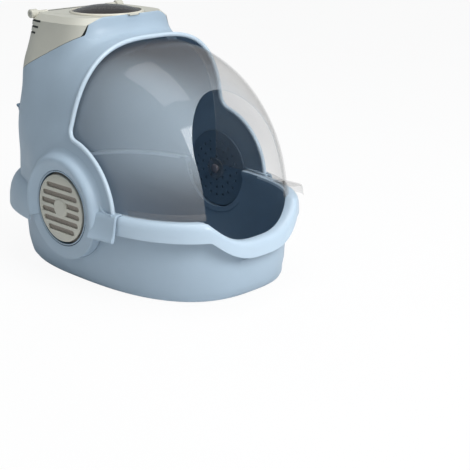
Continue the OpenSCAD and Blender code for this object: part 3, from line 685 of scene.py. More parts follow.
@dataclass
class Finishes:
    """Every finish of the box, made once."""

    def __post_init__(self) -> None:
        """Makes the materials."""
        self.body = MouldedPlastic("powder_blue_plastic", (166, 184, 199), mottle=0.03).make()
        # Painted highlight: a lighter copy of the body blue on the tray rim's outer band, standing in for the
        # gloss highlight along it.
        self.rim = MouldedPlastic("rim_painted_highlight_plastic", (186, 204, 219), rough=0.3, mottle=0.02,
                                  specular=0.55).make()
        # Painted highlight: a lighter copy of the body blue on the hood's edge bead, standing in for the
        # highlight along it.
        self.bead_highlight = MouldedPlastic("bead_painted_highlight_plastic", (192, 208, 221), rough=0.34, mottle=0.02).make()
        self.inside = MouldedPlastic("shaded_blue_inner", (120, 142, 162), rough=0.5, mottle=0.03).make()
        # Painted shade: a dark blue for the filter cups, the backs of the carbon pads and the scoop pocket's
        # hollow, where shade falls.
        self.hollow_shade = MouldedPlastic("hollow_painted_shade_plastic", (92, 114, 134), rough=0.5).make()
        self.beige = MouldedPlastic("warm_beige_plastic", (197, 195, 183), rough=0.36, mottle=0.03).make()
        self.cream = MouldedPlastic("cream_bezel_plastic", (212, 207, 192), rough=0.25, mottle=0.02,
                                    grain=0.03).make()
        # Painted shade: near-black for the housing's vent slots, its hollow and the finger tab's notches,
        # where shade falls.
        self.dark = MouldedPlastic("slot_painted_shade_plastic", (38, 42, 40), rough=0.6).make()
        self.basket = MouldedPlastic("grey_basket_plastic", (120, 120, 118), rough=0.5).make()
        self.knob = MouldedPlastic("grey_stud_plastic", (112, 110, 118), rough=0.25, grain=0.02).make()
        # The visor's pale sheen is a painted reflection.
        self.visor = ClearPlastic("clear_visor_plastic", (152, 145, 139), 0.078, 0.3, sheen=(200, 215, 226),
                                  sheen_alpha=0.21).make()
        self.lens = ClearPlastic("smoked_lens_plastic", (52, 44, 40), 0.5, 0.8, rough=0.07, coat=0.4).make()
        self.charcoal = Granular("charcoal_grains", (22, 19, 18), (96, 84, 76)).make()
        self.screen = Screen("vent_screen_weave", (140, 131, 122), (190, 181, 171)).make()
        self.steel = TurnedSteel("pin_steel").make()


# ---- Mesh making ----

def hoop(n: int, h: int) -> list[tuple[int, ...]]:
    """Faces between h closed rings of n points, the last ring joined to the first."""
    return [(i * n + j, i * n + (j + 1) % n, (i + 1) % h * n + (j + 1) % n, (i + 1) % h * n + j)
            for i in range(h) for j in range(n)]


def disc(radius: float, low: float, high: float, hole: float = 0.0) -> Outline:
    """Closed [r, height] profile of a flat disc, with a hole in its middle or without."""
    return [[hole, low], [radius, low], [radius, high], [hole, high]]


class Mould:
    """Collects closed solids, in millimetres about the pivot axis, and makes one mesh object of them."""

    def __init__(self) -> None:
        """Starts with nothing in it."""
        self.points: list[np.ndarray] = []
        self.faces: list[tuple[int, ...]] = []
        self.slots: list[int] = []
        self.count = 0

    def solid(self, points: np.ndarray, faces: list[tuple[int, ...]],
              slots: Optional[list[int]] = None) -> "Mould":
        """Adds one solid, and turns it the right way out by its volume.

        Args:
            points: Its vertices.
            faces: Its faces as vertex numbers.
            slots: A material slot for each face.

        Returns:
            This mould.
        """
        p = np.asarray(points, float).reshape(-1, 3)
        volume = 0.0
        for f in faces:
            for j in range(1, len(f) - 1):
                volume += np.dot(p[f[0]], np.cross(p[f[j]], p[f[j + 1]]))
        if volume < 0:
            faces = [tuple(reversed(f)) for f in faces]
        self.faces += [tuple(i + self.count for i in f) for f in faces]
        self.slots += slots or [0] * len(faces)
        self.points.append(p)
        self.count += len(p)
        return self

    def sheet(self, outer: np.ndarray, inner: np.ndarray, inner_slot: int = 0) -> "Mould":
        """Adds the solid between two grids of the same rows and columns.

        Args:
            outer: Points of the outer face, rows by columns by 3.
            inner: Points of the inner face.
            inner_slot: The inner face's material slot.

        Returns:
            This mould.
        """
        h, m = outer.shape[:2]
        q = h * m
        i, j = np.meshgrid(np.arange(h - 1), np.arange(m - 1), indexing="ij")
        a = (i * m + j).ravel()
        face = np.stack([a, a + m, a + m + 1, a + 1], 1)
        faces = [tuple(f) for f in face] + [tuple(f[::-1] + q) for f in face]
        slots = [0] * len(face) + [inner_slot] * len(face)
        loop = [j for j in range(m)] + [r * m + m - 1 for r in range(1, h)]
        loop += [(h - 1) * m + j for j in range(m - 2, -1, -1)] + [r * m for r in range(h - 2, 0, -1)]
        for k, b in enumerate(loop):
            c = loop[(k + 1) % len(loop)]
            faces.append((b, c, c + q, b + q))
            slots.append(0)
        return self.solid(np.concatenate([outer.reshape(-1, 3), inner.reshape(-1, 3)]), faces, slots)

    def loft(self, rings: Sequence[np.ndarray]) -> "Mould":
        """Adds the solid through closed rings, with flat ends.

        Args:
            rings: The rings, each with as many points.

        Returns:
            This mould.
        """
        n, last = len(rings[0]), len(rings) - 1
        faces = []
        for i in range(last):
            for j in range(n):
                k = (j + 1) % n
                faces.append((i * n + j, i * n + k, (i + 1) * n + k, (i + 1) * n + j))
        faces.append(tuple(range(n - 1, -1, -1)))
        faces.append(tuple(last * n + j for j in range(n)))
        return self.solid(np.concatenate([np.asarray(r, float) for r in rings]), faces)

    def turned(self, profile: Outline, steps: int, sign: float, start: float = 0,
               end: float = 360) -> "Mould":
        """Adds a closed [r, x] profile turned about the pivot axis.

        Args:
            profile: Its points.
            steps: How many steps the turn takes.
            sign: 1 for the right side, -1 for the left.
            start: First angle in degrees, up from the front.
            end: Last angle.

        Returns:
            This mould.
        """
        whole = abs(end - start) >= 360
        angles = np.radians(np.linspace(start, end, steps + 1))[: steps if whole else None]
        p = np.asarray(profile, float)
        rings = [np.stack([sign * p[:, 1], -p[:, 0] * np.cos(a), p[:, 0] * np.sin(a)], 1) for a in angles]
        return self.solid(np.concatenate(rings), hoop(len(p), len(rings))) if whole else self.loft(rings)

    def lathe(self, profile: Outline, centre: tuple[float, float, float], steps: int,
              axis: str = "Z") -> "Mould":
        """Adds a closed [r, height] profile turned about an axis of its own.

        Args:
            profile: Its points.
            centre: Where the axis starts.
            steps: How many steps the turn takes.
            axis: Z for an upright axis, X for a crosswise one.

        Returns:
            This mould.
        """
        p, c = np.asarray(profile, float), np.asarray(centre, float)
        rings = []
        for a in np.linspace(0, 2 * np.pi, steps, endpoint=False):
            u, w, h = p[:, 0] * math.cos(a), p[:, 0] * math.sin(a), p[:, 1]
            rings.append(c + (np.stack([u, w, h], 1) if axis == "Z" else np.stack([h, u, w], 1)))
        return self.solid(np.concatenate(rings), hoop(len(p), steps))

    def tube(self, path: np.ndarray, radius: Sequence[float], sides: int = 12) -> "Mould":
        """Adds a round bead along an open path.

        Args:
            path: Points along it.
            radius: Its radius at each point.
            sides: Sides of its section.

        Returns:
            This mould.
        """
        tangent = np.gradient(path, axis=0)
        tangent /= np.linalg.norm(tangent, axis=1)[:, None]
        up = np.array([1.0, 0, 0])
        rings = []
        for p, t, r in zip(path, tangent, radius):
            up = up - np.dot(up, t) * t
            up /= np.linalg.norm(up)
            other = np.cross(t, up)
            a = np.linspace(0, 2 * np.pi, sides, endpoint=False)
            rings.append(p + r * (np.cos(a)[:, None] * up + np.sin(a)[:, None] * other))
        return self.loft(rings)

    def build(self, name: str, materials: Sequence[Material], crease: float = 34.0) -> Object:
        """Makes the object.

        Args:
            name: Its name.
            materials: Its materials in slot order.
            crease: Edges sharper than this many degrees stay sharp.

        Returns:
            The object, at the origin.
        """
        mesh = bpy.data.meshes.new(name)
        mesh.from_pydata(place(np.concatenate(self.points)).tolist(), [], self.faces)
        mesh.polygons.foreach_set("material_index", self.slots)
        bm = bmesh.new()
        bm.from_mesh(mesh)
        bmesh.ops.remove_doubles(bm, verts=bm.verts, dist=1e-6)
        bmesh.ops.dissolve_degenerate(bm, edges=bm.edges, dist=1e-7)
        bm.to_mesh(mesh)
        bm.free()
        for material in materials:
            mesh.materials.append(material)
        obj = bpy.data.objects.new(name, mesh)
        bpy.context.scene.collection.objects.link(obj)
        soften(mesh, crease)
        return obj


def soften(mesh: Mesh, crease: float = 34.0) -> None:
    """Smooth shading with sharp edges past an angle in degrees."""
    mesh.polygons.foreach_set("use_smooth", [True] * len(mesh.polygons))
    mesh.set_sharp_from_angle(angle=math.radians(crease))


def settle(obj: Object, crease: float = 34.0) -> Object:
    """Turns an object's modifiers into its plain mesh.

    Args:
        obj: The object.
        crease: Edges sharper than this many degrees stay sharp.

    Returns:
        The same object without modifiers.
    """
    graph = bpy.context.evaluated_depsgraph_get()
    mesh = bpy.data.meshes.new_from_object(obj.evaluated_get(graph))
    obj.modifiers.clear()
    old = obj.data
    obj.data = mesh
    mesh.name = obj.name
    bpy.data.meshes.remove(old)
    soften(mesh, crease)
    return obj


def carve(obj: Object, cutter: Object, join: bool = False, crease: float = 34.0,
          crossing: bool = False) -> None:
    """Cuts one object out of another, or joins it to it, and deletes the cutter.

    Args:
        obj: The object that is changed.
        cutter: What is cut out or joined.
        join: Whether it is joined.
        crease: Edges sharper than this many degrees stay sharp.
        crossing: Whether the cutter's own forms cross each other.
    """
    cut = obj.modifiers.new("cut", "BOOLEAN")
    cut.operation = "UNION" if join else "DIFFERENCE"
    cut.solver = "EXACT"
    cut.object = cutter
    cut.use_self = crossing
    settle(obj, crease)
    bpy.data.objects.remove(cutter)


def rounded(obj: Object, width: float, segments: int = 3) -> Object:
    """Rounds an object's sharp edges.

    Args:
        obj: The object.
        width: How wide, in millimetres.
        segments: In how many steps.

    Returns:
        The object.
    """
    bevel = obj.modifiers.new("rounded_edges", "BEVEL")
    bevel.width = width * MM
    bevel.segments = segments
    bevel.limit_method = "ANGLE"
    bevel.angle_limit = math.radians(40.0)
    bevel.harden_normals = True
    return obj


def prism(outline: Outline, low: float, high: float, axis: str = "X") -> Solid:
    """An outline drawn out straight.

    Args:
        outline: Its points.
        low: Where it starts.
        high: Where it ends.
        axis: X or Z, along which it is drawn out.

    Returns:
        Its points and faces.
    """
    o = np.asarray(outline, float)
    n = len(o)
    ends = []
    for h in (low, high):
        c = np.full(n, h)
        ends.append(np.stack([c, o[:, 0], o[:, 1]] if axis == "X" else [o[:, 0], o[:, 1], c], 1))
    faces = [(j, (j + 1) % n, n + (j + 1) % n, n + j) for j in range(n)]
    faces += [tuple(range(n - 1, -1, -1)), tuple(range(n, 2 * n))]
    return np.concatenate(ends), faces


def slab(low: Sequence[float], high: Sequence[float]) -> Solid:
    """Points and faces of a box between two corners."""
    (x0, y0, v0), (x1, y1, v1) = low, high
    return prism([[y0, v0], [y1, v0], [y1, v1], [y0, v1]], x0, x1)


def resample(p: np.ndarray, count: int) -> np.ndarray:
    """Points spaced evenly along a polyline.

    Args:
        p: The polyline's points.
        count: How many points to return.

    Returns:
        The new points.
    """
    s = np.concatenate([[0], np.cumsum(np.linalg.norm(np.diff(p, axis=0), axis=1))])
    t = np.linspace(0, s[-1], count)
    return np.stack([np.interp(t, s, p[:, k]) for k in range(p.shape[1])], 1)


def rounded_outline(points: Outline, passes: int = 2) -> np.ndarray:
    """A closed outline with its corners cut off, which rounds them.

    Args:
        points: Its points.
        passes: How often they are cut.

    Returns:
        The new points.
    """
    p = np.asarray(points, float)
    for _ in range(passes):
        q = np.roll(p, -1, axis=0)
        p = np.stack([0.75 * p + 0.25 * q, 0.25 * p + 0.75 * q], 1).reshape(-1, p.shape[1])
    return p


def fit_out(obj: Object, body: Body, slot: str, *nodes: str) -> Object:
    """Puts a finished piece on its body and hides the CAD nodes that it stands for.

    Args:
        obj: The piece.
        body: The body that it rides on.
        slot: Not used.
        *nodes: The CAD nodes that it replaces.

    Returns:
        The piece.
    """
    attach(obj, body.value)
    if nodes:
        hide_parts(*nodes)
    log.info("piece %s on %s, %d faces", obj.name, body.value, len(obj.data.polygons))
    return obj


# ---- Geometry Nodes ----


class RepeatTree(Tree):
    """A Geometry Nodes tree that lays copies of a small form on points and makes them real."""

    def __init__(self, name: str, inputs: dict[str, tuple[str, float]]) -> None:
        """Starts the tree with its named inputs.

        Args:
            name: The tree's name.
            inputs: Socket name to its type and default value.
        """
        self.tree = bpy.data.node_groups.new(name, "GeometryNodeTree")
        face = self.tree.interface
        self.ids: dict[str, str] = {}
        for key, (kind, value) in inputs.items():
            socket = face.new_socket(key, in_out="INPUT", socket_type=kind)
            socket.default_value = value
            self.ids[key] = socket.identifier
        face.new_socket("Geometry", in_out="OUTPUT", socket_type="NodeSocketGeometry")
        self.source = self.tree.nodes.new("NodeGroupInput")
        self.sink = self.tree.nodes.new("NodeGroupOutput")

    def value(self, key: str) -> Socket:
        """The output of a named input."""
        return self.source.outputs[key]

    def close(self, geometry: Socket, material: Material) -> "RepeatTree":
        """Ends the tree in Realize Instances and Set Material.

        Args:
            geometry: What the tree has made.
            material: Its material.

        Returns:
            This tree.
        """
        real = self.add("GeometryNodeRealizeInstances", in_Geometry=geometry)
        finish = self.add("GeometryNodeSetMaterial", in_Geometry=real.outputs[0])
        finish.inputs["Material"].default_value = material
        self.tree.links.new(finish.outputs[0], self.sink.inputs[0])
        return self

    def run(self, name: str, values: dict[str, float]) -> Object:
        """Makes an object from the tree.

        Args:
            name: The object's name.
            values: Input values by name.

        Returns:
            A plain mesh object in the tree's own coordinates.
        """
        mesh = bpy.data.meshes.new(name)
        obj = bpy.data.objects.new(name, mesh)
        bpy.context.scene.collection.objects.link(obj)
        modifier = obj.modifiers.new("repeat", "NODES")
        modifier.node_group = self.tree
        for key, value in values.items():
            modifier[self.ids[key]] = value
        return settle(obj)


WHOLE, SIZE = "NodeSocketInt", "NodeSocketFloat"


def hole_ring_tree(material: Material) -> RepeatTree:
    """Tree of round pegs on a circle about X, for rings of holes.

    Args:
        material: The pegs' material.

    Returns:
        The tree.
    """
    t = RepeatTree("ring_of_pegs", {"Count": (WHOLE, 10), "Ring radius": (SIZE, 0.04),
                                    "Hole radius": (SIZE, 0.004), "Length": (SIZE, 0.01)})
    circle = t.add("GeometryNodeMeshCircle", in_Vertices=t.value("Count"), in_Radius=t.value("Ring radius"))
    peg = t.add("GeometryNodeMeshCylinder", in_Vertices=20, in_Radius=t.value("Hole radius"),
                 in_Depth=t.value("Length"))
    copies = t.add("GeometryNodeInstanceOnPoints", in_Points=circle.outputs[0],
                    in_Instance=peg.outputs["Mesh"])
    turned = t.add("GeometryNodeTransform", in_Geometry=copies.outputs[0], in_Rotation=(0, math.pi / 2, 0))
    return t.close(turned.outputs[0], material)


def slot_rows_tree(material: Material) -> RepeatTree:
    """Tree of the vent cover's slot cutters: rows of round-ended slots that fill a disc about X.

    Args:
        material: The cutters' material.

    Returns:
        The tree.
    """
    t = RepeatTree("slot_rows", {"Rows": (WHOLE, 6), "Pitch": (SIZE, 0.0175), "Slot": (SIZE, 0.007),
                                 "Reach": (SIZE, 0.061), "Depth": (SIZE, 0.02)})
    steps = t.math("SUBTRACT", t.value("Rows"), 1.0)
    first = t.math("MULTIPLY", t.math("MULTIPLY", steps, -0.5), t.value("Pitch"))
    start = t.add("ShaderNodeCombineXYZ", in_Z=first)
    offset = t.add("ShaderNodeCombineXYZ", in_Z=t.value("Pitch"))
    line = t.add("GeometryNodeMeshLine", in_Count=t.value("Rows"), in_Start_Location=start.outputs[0],
                  in_Offset=offset.outputs[0])
    place_of = t.add("GeometryNodeInputPosition")
    height = t.add("ShaderNodeSeparateXYZ", in_Vector=place_of.outputs[0]).outputs["Z"]
    square = t.math("SUBTRACT", t.math("MULTIPLY", t.value("Reach"), t.value("Reach")),
                    t.math("MULTIPLY", height, height))
    half = t.math("SUBTRACT", t.math("SQRT", square), t.math("MULTIPLY", t.value("Slot"), 0.5))
    size = t.add("ShaderNodeCombineXYZ", in_X=t.value("Depth"), in_Y=t.math("MULTIPLY", half, 2.0),
                  in_Z=t.value("Slot"))
    bar = t.add("GeometryNodeMeshCube", in_Size=(1.0, 1.0, 1.0))
    bars = t.add("GeometryNodeInstanceOnPoints", in_Points=line.outputs[0], in_Instance=bar.outputs["Mesh"],
                  in_Scale=size.outputs[0])
    end = t.add("GeometryNodeMeshCylinder", in_Vertices=24,
                 in_Radius=t.math("MULTIPLY", t.value("Slot"), 0.5), in_Depth=t.value("Depth"))
    lying = t.add("GeometryNodeTransform", in_Geometry=end.outputs["Mesh"], in_Rotation=(0, math.pi / 2, 0))
    parts = [bars.outputs[0]]
    for sign in (-1.0, 1.0):
        aside = t.add("ShaderNodeCombineXYZ", in_Y=t.math("MULTIPLY", half, sign))
        moved = t.add("GeometryNodeSetPosition", in_Geometry=line.outputs[0], in_Offset=aside.outputs[0])
        ends = t.add("GeometryNodeInstanceOnPoints", in_Points=moved.outputs[0],
                      in_Instance=lying.outputs[0])
        parts.append(ends.outputs[0])
    join = t.tree.nodes.new("GeometryNodeJoinGeometry")
    for part in parts:
        t.tree.links.new(part, join.inputs[0])
    return t.close(join.outputs[0], material)


def granule_tree(material: Material) -> RepeatTree:
    """Tree of broken grains strewn over a disc, with a fixed seed.

    Args:
        material: The grains' material.

    Returns:
        The tree.
    """
    t = RepeatTree("strewn_grains", {"Radius": (SIZE, 0.057), "Density": (SIZE, 60000.0),
                                     "Grain": (SIZE, 0.0025), "Seed": (WHOLE, 7)})
    ground = t.add("GeometryNodeMeshCircle", fill_type="NGON", in_Vertices=48, in_Radius=t.value("Radius"))
    strewn = t.add("GeometryNodeDistributePointsOnFaces", in_Mesh=ground.outputs[0],
                    in_Density=t.value("Density"), in_Seed=t.value("Seed"))
    grain = t.add("GeometryNodeMeshIcoSphere", in_Radius=t.value("Grain"), in_Subdivisions=1)
    turn = t.add("FunctionNodeRandomValue", data_type="FLOAT_VECTOR", in_Seed=t.value("Seed"))
    turn.inputs[1].default_value = (6.28, 6.28, 6.28)
    size = t.add("FunctionNodeRandomValue", data_type="FLOAT_VECTOR", in_Seed=t.value("Seed"))
    size.inputs[0].default_value, size.inputs[1].default_value = (0.5, 0.5, 0.4), (1.2, 1.0, 0.8)
    copies = t.add("GeometryNodeInstanceOnPoints", in_Points=strewn.outputs["Points"],
                    in_Instance=grain.outputs["Mesh"], in_Rotation=turn.outputs[0], in_Scale=size.outputs[0])
    return t.close(copies.outputs[0], material)


def shift(obj: Object, offset: Sequence[float], tilt: Optional[float] = None) -> Object:
    """Moves a mesh to its place, in millimetres about the pivot axis.

    Args:
        obj: The object, made about its own middle, or about the pivot axis if it is tilted.
        offset: The place that its middle goes to.
        tilt: Turn about X in radians.

    Returns:
        The object.
    """
    co = np.zeros(len(obj.data.vertices) * 3)
    obj.data.vertices.foreach_get("co", co)
    co = co.reshape(-1, 3)
    if tilt is not None:
        co -= place(np.zeros(3))
        c, s = math.cos(tilt), math.sin(tilt)
        co = np.stack([co[:, 0], c * co[:, 1] - s * co[:, 2], s * co[:, 1] + c * co[:, 2]], 1)
    co += place(np.asarray([offset]))[0]
    obj.data.vertices.foreach_set("co", co.ravel())
    obj.data.update()
    return obj


def about_pivot(point: Vector) -> Vector:
    """A point of the row frame in metres as one in millimetres about the pivot axis."""
    return point / MM - Vector((0, HUB_Y, PIVOT_HEIGHT))


# ---- Tray ----


Row = tuple[float, float, float, float]


@dataclass
class Tray:
    """The oval tray with its flared rim, the dip at the entrance and the bosses under the hubs."""

    base_inset: float = 20.0
    floor: float = 3.0
    wall: float = 3.0
    dip: float = 50.0
    dip_half: float = 120.0
    rim_low: float = 132.0
    rim: float = 168.0
    boss_radius: float = 105.0
    boss_turn: tuple[float, float] = (200.0, 346.0)
    boss_wall: float = 190.0
    notch_radius: float = 87.0
    notch_in: float = 30.0
    notch_out: float = 48.0
    mouth_radius: float = 77.2
    columns: int = 192

    def ring(self, o: float, z: float, share: float, square: float) -> np.ndarray:
        """One ring of the tray's section.

        Args:
            o: How far it lies outside the belly.
            z: Its height above the floor.
            share: Its share of the dip.
            square: Its squareness at the front.

        Returns:
            Its points.
        """
        t = np.linspace(0, 2 * np.pi, self.columns, endpoint=False)
        e = 2 / np.where(np.sin(t) < 0, square, 2.5)
        x = (M.tray_half + o) * spow(np.cos(t), e)
        y = (np.where(np.sin(t) < 0, M.tray_front, M.tray_rear) + o) * spow(np.sin(t), e)
        across = np.minimum(1, np.abs(x) / self.dip_half)
        drop = np.where(y < 0, self.dip * share * (1 - across ** 2.8) ** 1.1, 0)
        return np.stack([x, y, z - PIVOT_HEIGHT - drop], 1)

    def rows(self) -> tuple[list[Row], list[Row], list[Row]]:
        """The section's rows: offset, height, share of the dip and front squareness.

        Returns:
            The rows of the outside, the rim and the inside.
        """
        b, r, w, f = 2.5, 2.8, self.wall, M.rim_flare
        base, low, top = self.base_inset, self.rim_low, self.rim
        outside = [(-base - 6, 0, 0, r - 0.1), (-base, 0.2, 0, r - 0.1), (-base * 0.68, 3, 0, r - 0.1),
                   (-base * 0.42, 10, 0, b + 0.1), (-5, 24, 0, b), (-2, 40, 0, b), (0, 80, 0, b),
                   (-1, low - 14, 0.78, b), (-1, top - 18, 0.98, b), (f * 0.3, top - 10, 1.06, r),
                   (f - w - 2, low + 12, 1.0, r), (f - w, low + 3, 0.93, r)]
        rim = [(f - w, low, 0.92, r), (f, low, 0.92, r), (f, low + 3, 0.94, r), (f - 0.2, low + 12, 0.98, r),
               (f - 1, top - 14, 1, r), (f - 2.6, top - 8, 1.01, r), (f - 5.2, top - 3.8, 1.01, r),
               (f - 9, top - 1.2, 1, r), (f - 13, top - 0.3, 1, r), (-1, top, 1, r), (-7, top - 1, 0.99, r)]
        inside = [(-8, top - 6, 0.98, r), (-3, top - 22, 0.96, b), (-1 - w, low - 14, 0.78, b),
                  (-w, 80, 0, b), (-2 - w, 40, 0, b), (-6 - w, 24, 0, b),
                  (-base * 0.42 - w, 11.5, 0, b + 0.1), (-base * 0.68 - w * 0.8, 5.6, 0, r - 0.1),
                  (-base - w * 0.3, self.floor, 0, r - 0.1), (-base - 8, self.floor, 0, r - 0.1)]
        return outside, rim, inside

    def build(self, f: Finishes) -> None:
        """Makes the tray and puts it on its body.

        Args:
            f: The finishes.
        """
        outside, rim, inside = self.rows()
        mould = Mould().loft([self.ring(*row) for row in outside + rim + inside])
        tray = mould.build("tray_shell", [f.body, f.inside, f.rim])
        # The rim rows take the lighter painted-highlight blue, the inside rows the darker shaded blue.
        slots = [0] * len(outside) + [2] * len(rim) + [1] * len(inside)
        for face in tray.data.polygons:
            face.material_index = slots[face.index // self.columns]
        side_x, notch, mouth = M.hood_half, self.notch_radius, self.mouth_radius
        low, step, high = M.tray_half - self.notch_in, side_x + 1, M.tray_half + self.notch_out
        for side in Side:
            boss = Mould().turned(rounded_outline([
                [mouth - 1, side_x - 14], [self.boss_radius, side_x - 14],
                [self.boss_radius, side_x + 9.5], [self.boss_radius - 3, side_x + 13],
                [mouth + 1.5, side_x + 13], [mouth - 1, side_x + 12]], 1),
                72, side.value, *self.boss_turn)
            carve(tray, boss.build("boss", [f.body]), join=True)
            room = Mould().turned([[0, low], [notch, low], [notch, step], [mouth, step], [mouth, high],
                                   [0, high]], 96, side.value)
            carve(tray, room.build("notch", [f.body]))
            for near, far, half in ((low, step, notch), (step - 0.01, high, mouth)):
                x0, x1 = sorted((side.value * near, side.value * far))
                box = Mould().solid(*slab((x0, -half, 0.01), (x1, half, 14)))
                carve(tray, box.build("notch_top", [f.body]))
        for face in tray.data.polygons:
            p = about_pivot(face.center)
            inward = face.normal.x * p.x < -0.3 * abs(p.x) or math.hypot(p.y, p.z) < notch + 1.5
            if self.boss_wall < abs(p.x) < side_x + 1 and inward:
                face.material_index = 1
        fit_out(tray, Body.TRAY, "body_plastic", "litter_tray")


# ---- Hood ----


@dataclass
class Hood:
    """The lift-off hood: dome, tower, side lobes, hub arches, rim straps and the rear skirt."""

    form: HoodForm
    lobe_start: float = 84.0
    lobe_top: float = 76.0
    fillet: float = 23.0
    bead: float = 4.4
    skirt_depth: float = 56.0
    skirt_square: float = 2.5
    collar_radius: float = 26.0
    strap_y: float = 134.0
    strap_length: float = 62.0
    strap_turn: float = -7.6
    gusset_radius: float = 113.0
    gusset_curve: float = 24.0
    vent_y: float = 118.0
    vent_radius: float = 42.0

    def side_x(self, r: Value, i: float) -> np.ndarray:
        """Half width of the hood's side at radius r, with the flat lobe round the hub."""
        dome = dome_x(r, M.hood_radius - i, M.hood_half - i)
        return dome + (M.hood_half - i - dome) * smooth(172, 118, r)

    def edge_angle(self, r: Value) -> np.ndarray:
        """Angle in degrees of the hood's front edge at radius r."""
        inside = np.clip((M.lobe_radius + self.fillet - r) / self.fillet, 0, 1)
        return M.edge_angle - (M.edge_angle - self.lobe_top) * (1 - np.sqrt(1 - inside ** 2))

    def skin_rows(self, i: float) -> np.ndarray:
        """The rows of the dome and tower, from the front edge round to the rear wall's foot.

        Args:
            i: Inset of the surface.

        Returns:
            The rows' points.
        """
        a = np.radians(np.concatenate([np.linspace(21.5, 40, 20)[:-1], np.linspace(40, 140, 101),
                                       np.linspace(140, 158.5, 20)[1:]]))
        r0 = (M.hood_half - i) * np.tan(np.minimum(a, np.pi - a))
        edge = np.where(r0 < M.hood_radius * 0.7, self.edge_angle(r0), M.edge_angle)
        rows = [self.points(a, np.radians(mix(edge, 90.0, k / 5)), i) for k in range(5)]
        for angle in np.concatenate([np.arange(90, 99, 1.5), np.arange(99, 128, 1.6),
                                     np.arange(128, 142, 1.0), np.arange(142, 169, 2.2)]):
            rows.append(self.points(a, np.full(a.shape, math.radians(angle)), i))
        rows += [self.bulge(self.form.wall(a, v, i), i) for v in (52.0, 42.0, 33.0, 26.0, 20.0, 15.5, 12.7)]
        return np.array(rows)

    def points(self, a: np.ndarray, phi: np.ndarray, i: float) -> np.ndarray:
        """Points of the surface in the directions a from +X, turned to phi up from the front."""
        d = np.stack([np.cos(a), -np.sin(a) * np.cos(phi), np.sin(a) * np.sin(phi)], -1)
        return self.bulge(self.form.reach(d, i), i)

    def bulge(self, p: np.ndarray, i: float) -> np.ndarray:
        """Moves points near the hubs out to the flat lobe.

        Args:
            p: The points.
            i: Inset of the surface.

        Returns:
            The moved points.
        """
        r = np.hypot(p[..., 1], p[..., 2])
        lift = (M.hood_half - i - dome_x(r, M.hood_radius - i, M.hood_half - i)) * smooth(172, 118, r)
        q = p.copy()
        q[..., 0] += np.sign(p[..., 0]) * lift
        return q

    def skirt(self, mould: Mould) -> None:
        """Adds the skirt that hangs over the tray's rim at the rear.

        Args:
            mould: What it is added to.
        """
        a, n = np.radians(np.linspace(23.2, 156.8, 120)), self.skirt_square

        def plan(o: float) -> np.ndarray:
            """Distance to the tray's rear outline."""
            return ((np.abs(np.cos(a)) / (M.tray_half + o)) ** n
                    + (np.sin(a) / (M.tray_rear + o)) ** n) ** (-1 / n)

        def row(v: float, o: float) -> np.ndarray:
            """A level row round the outline."""
            return np.stack([plan(o) * np.cos(a), plan(o) * np.sin(a), np.full(a.shape, v)], 1)

        low, c = M.crest - self.skirt_depth, M.crest
        outer = [self.bulge(self.form.wall(a, v, 0.4), 0.4) for v in (c + 20.0, c + 12.0)]
        outer += [row(v, o) for v, o in ((c + 8.2, 8.0), (c + 6.4, 12.5), (c + 3.2, 17.5), (c - 1, 21.2),
                                         (c - 8, 25.2), (c - 18, 29.0), (c - 34, 32.0), (low + 2, 33.2),
                                         (low, 32.8))]
        inner = [self.bulge(self.form.wall(a, v, 2.6), 2.6) for v in (c + 18.0, c + 9.0)]
        inner += [row(v, o) for v, o in ((c + 5.0, 7.0), (c + 3.4, 11.0), (c + 0.6, 15.4), (c - 3, 18.6),
                                         (c - 9, 22.4), (c - 18, 26.0), (c - 34, 29.0), (low + 2, 30.2),
                                         (low, 30.4))]
        mould.sheet(np.array(outer), np.array(inner), 1)

    def lobe(self, mould: Mould, side: Side) -> None:
        """Adds the lobe between the hub and the bead at the front.

        Args:
            mould: What it is added to.
            side: Its side.
        """
        r = np.linspace(self.lobe_start, M.lobe_radius, 24)
        grids = []
        for i in (0.0, M.wall):
            low = np.degrees(np.arcsin((M.crest + 0.6) / r))
            rows = [np.stack([side.value * self.side_x(r, i), -r * np.cos(p), r * np.sin(p)], 1)
                    for p in (np.radians(mix(low, self.lobe_top, k / 40)) for k in range(41))]
            grids.append(np.array(rows))
        mould.sheet(grids[0], grids[1], 1)

    def bead_path(self) -> np.ndarray:
        """Path of the bead: up the right lobe, over the dome along its front edge and down the left lobe.

        Returns:
            Its points.
        """
        arc = np.radians(np.linspace(4.6, self.lobe_top, 50))
        r = M.lobe_radius
        lobe = np.stack([np.full(arc.shape, self.side_x(r, 0)), -r * np.cos(arc), r * np.sin(arc)], 1)
        rr = M.lobe_radius + self.fillet * (1 - np.cos(np.linspace(0, np.pi / 2, 14)[1:]))
        pp = np.radians(self.edge_angle(rr))
        turn = np.stack([self.side_x(rr, 0), -rr * np.cos(pp), rr * np.sin(pp)], 1)
        u = np.linspace(0, 1, 90)[1:] * (np.pi / 2)
        r_top = (M.lobe_radius + self.fillet) / M.hood_radius
        start = math.asin(r_top ** (M.square / 2))
        ang = start + (np.pi / 2 - start) * (u / (np.pi / 2))
        ro = M.hood_radius * np.sin(ang) ** (2 / M.square)
        phi = math.radians(M.edge_angle)
        over = np.stack([self.side_x(ro, 0), -ro * math.cos(phi), ro * math.sin(phi)], 1)
        right = np.concatenate([lobe, turn, over])
        left = right[::-1].copy()
        left[:, 0] *= -1
        return np.concatenate([right, left[1:]])

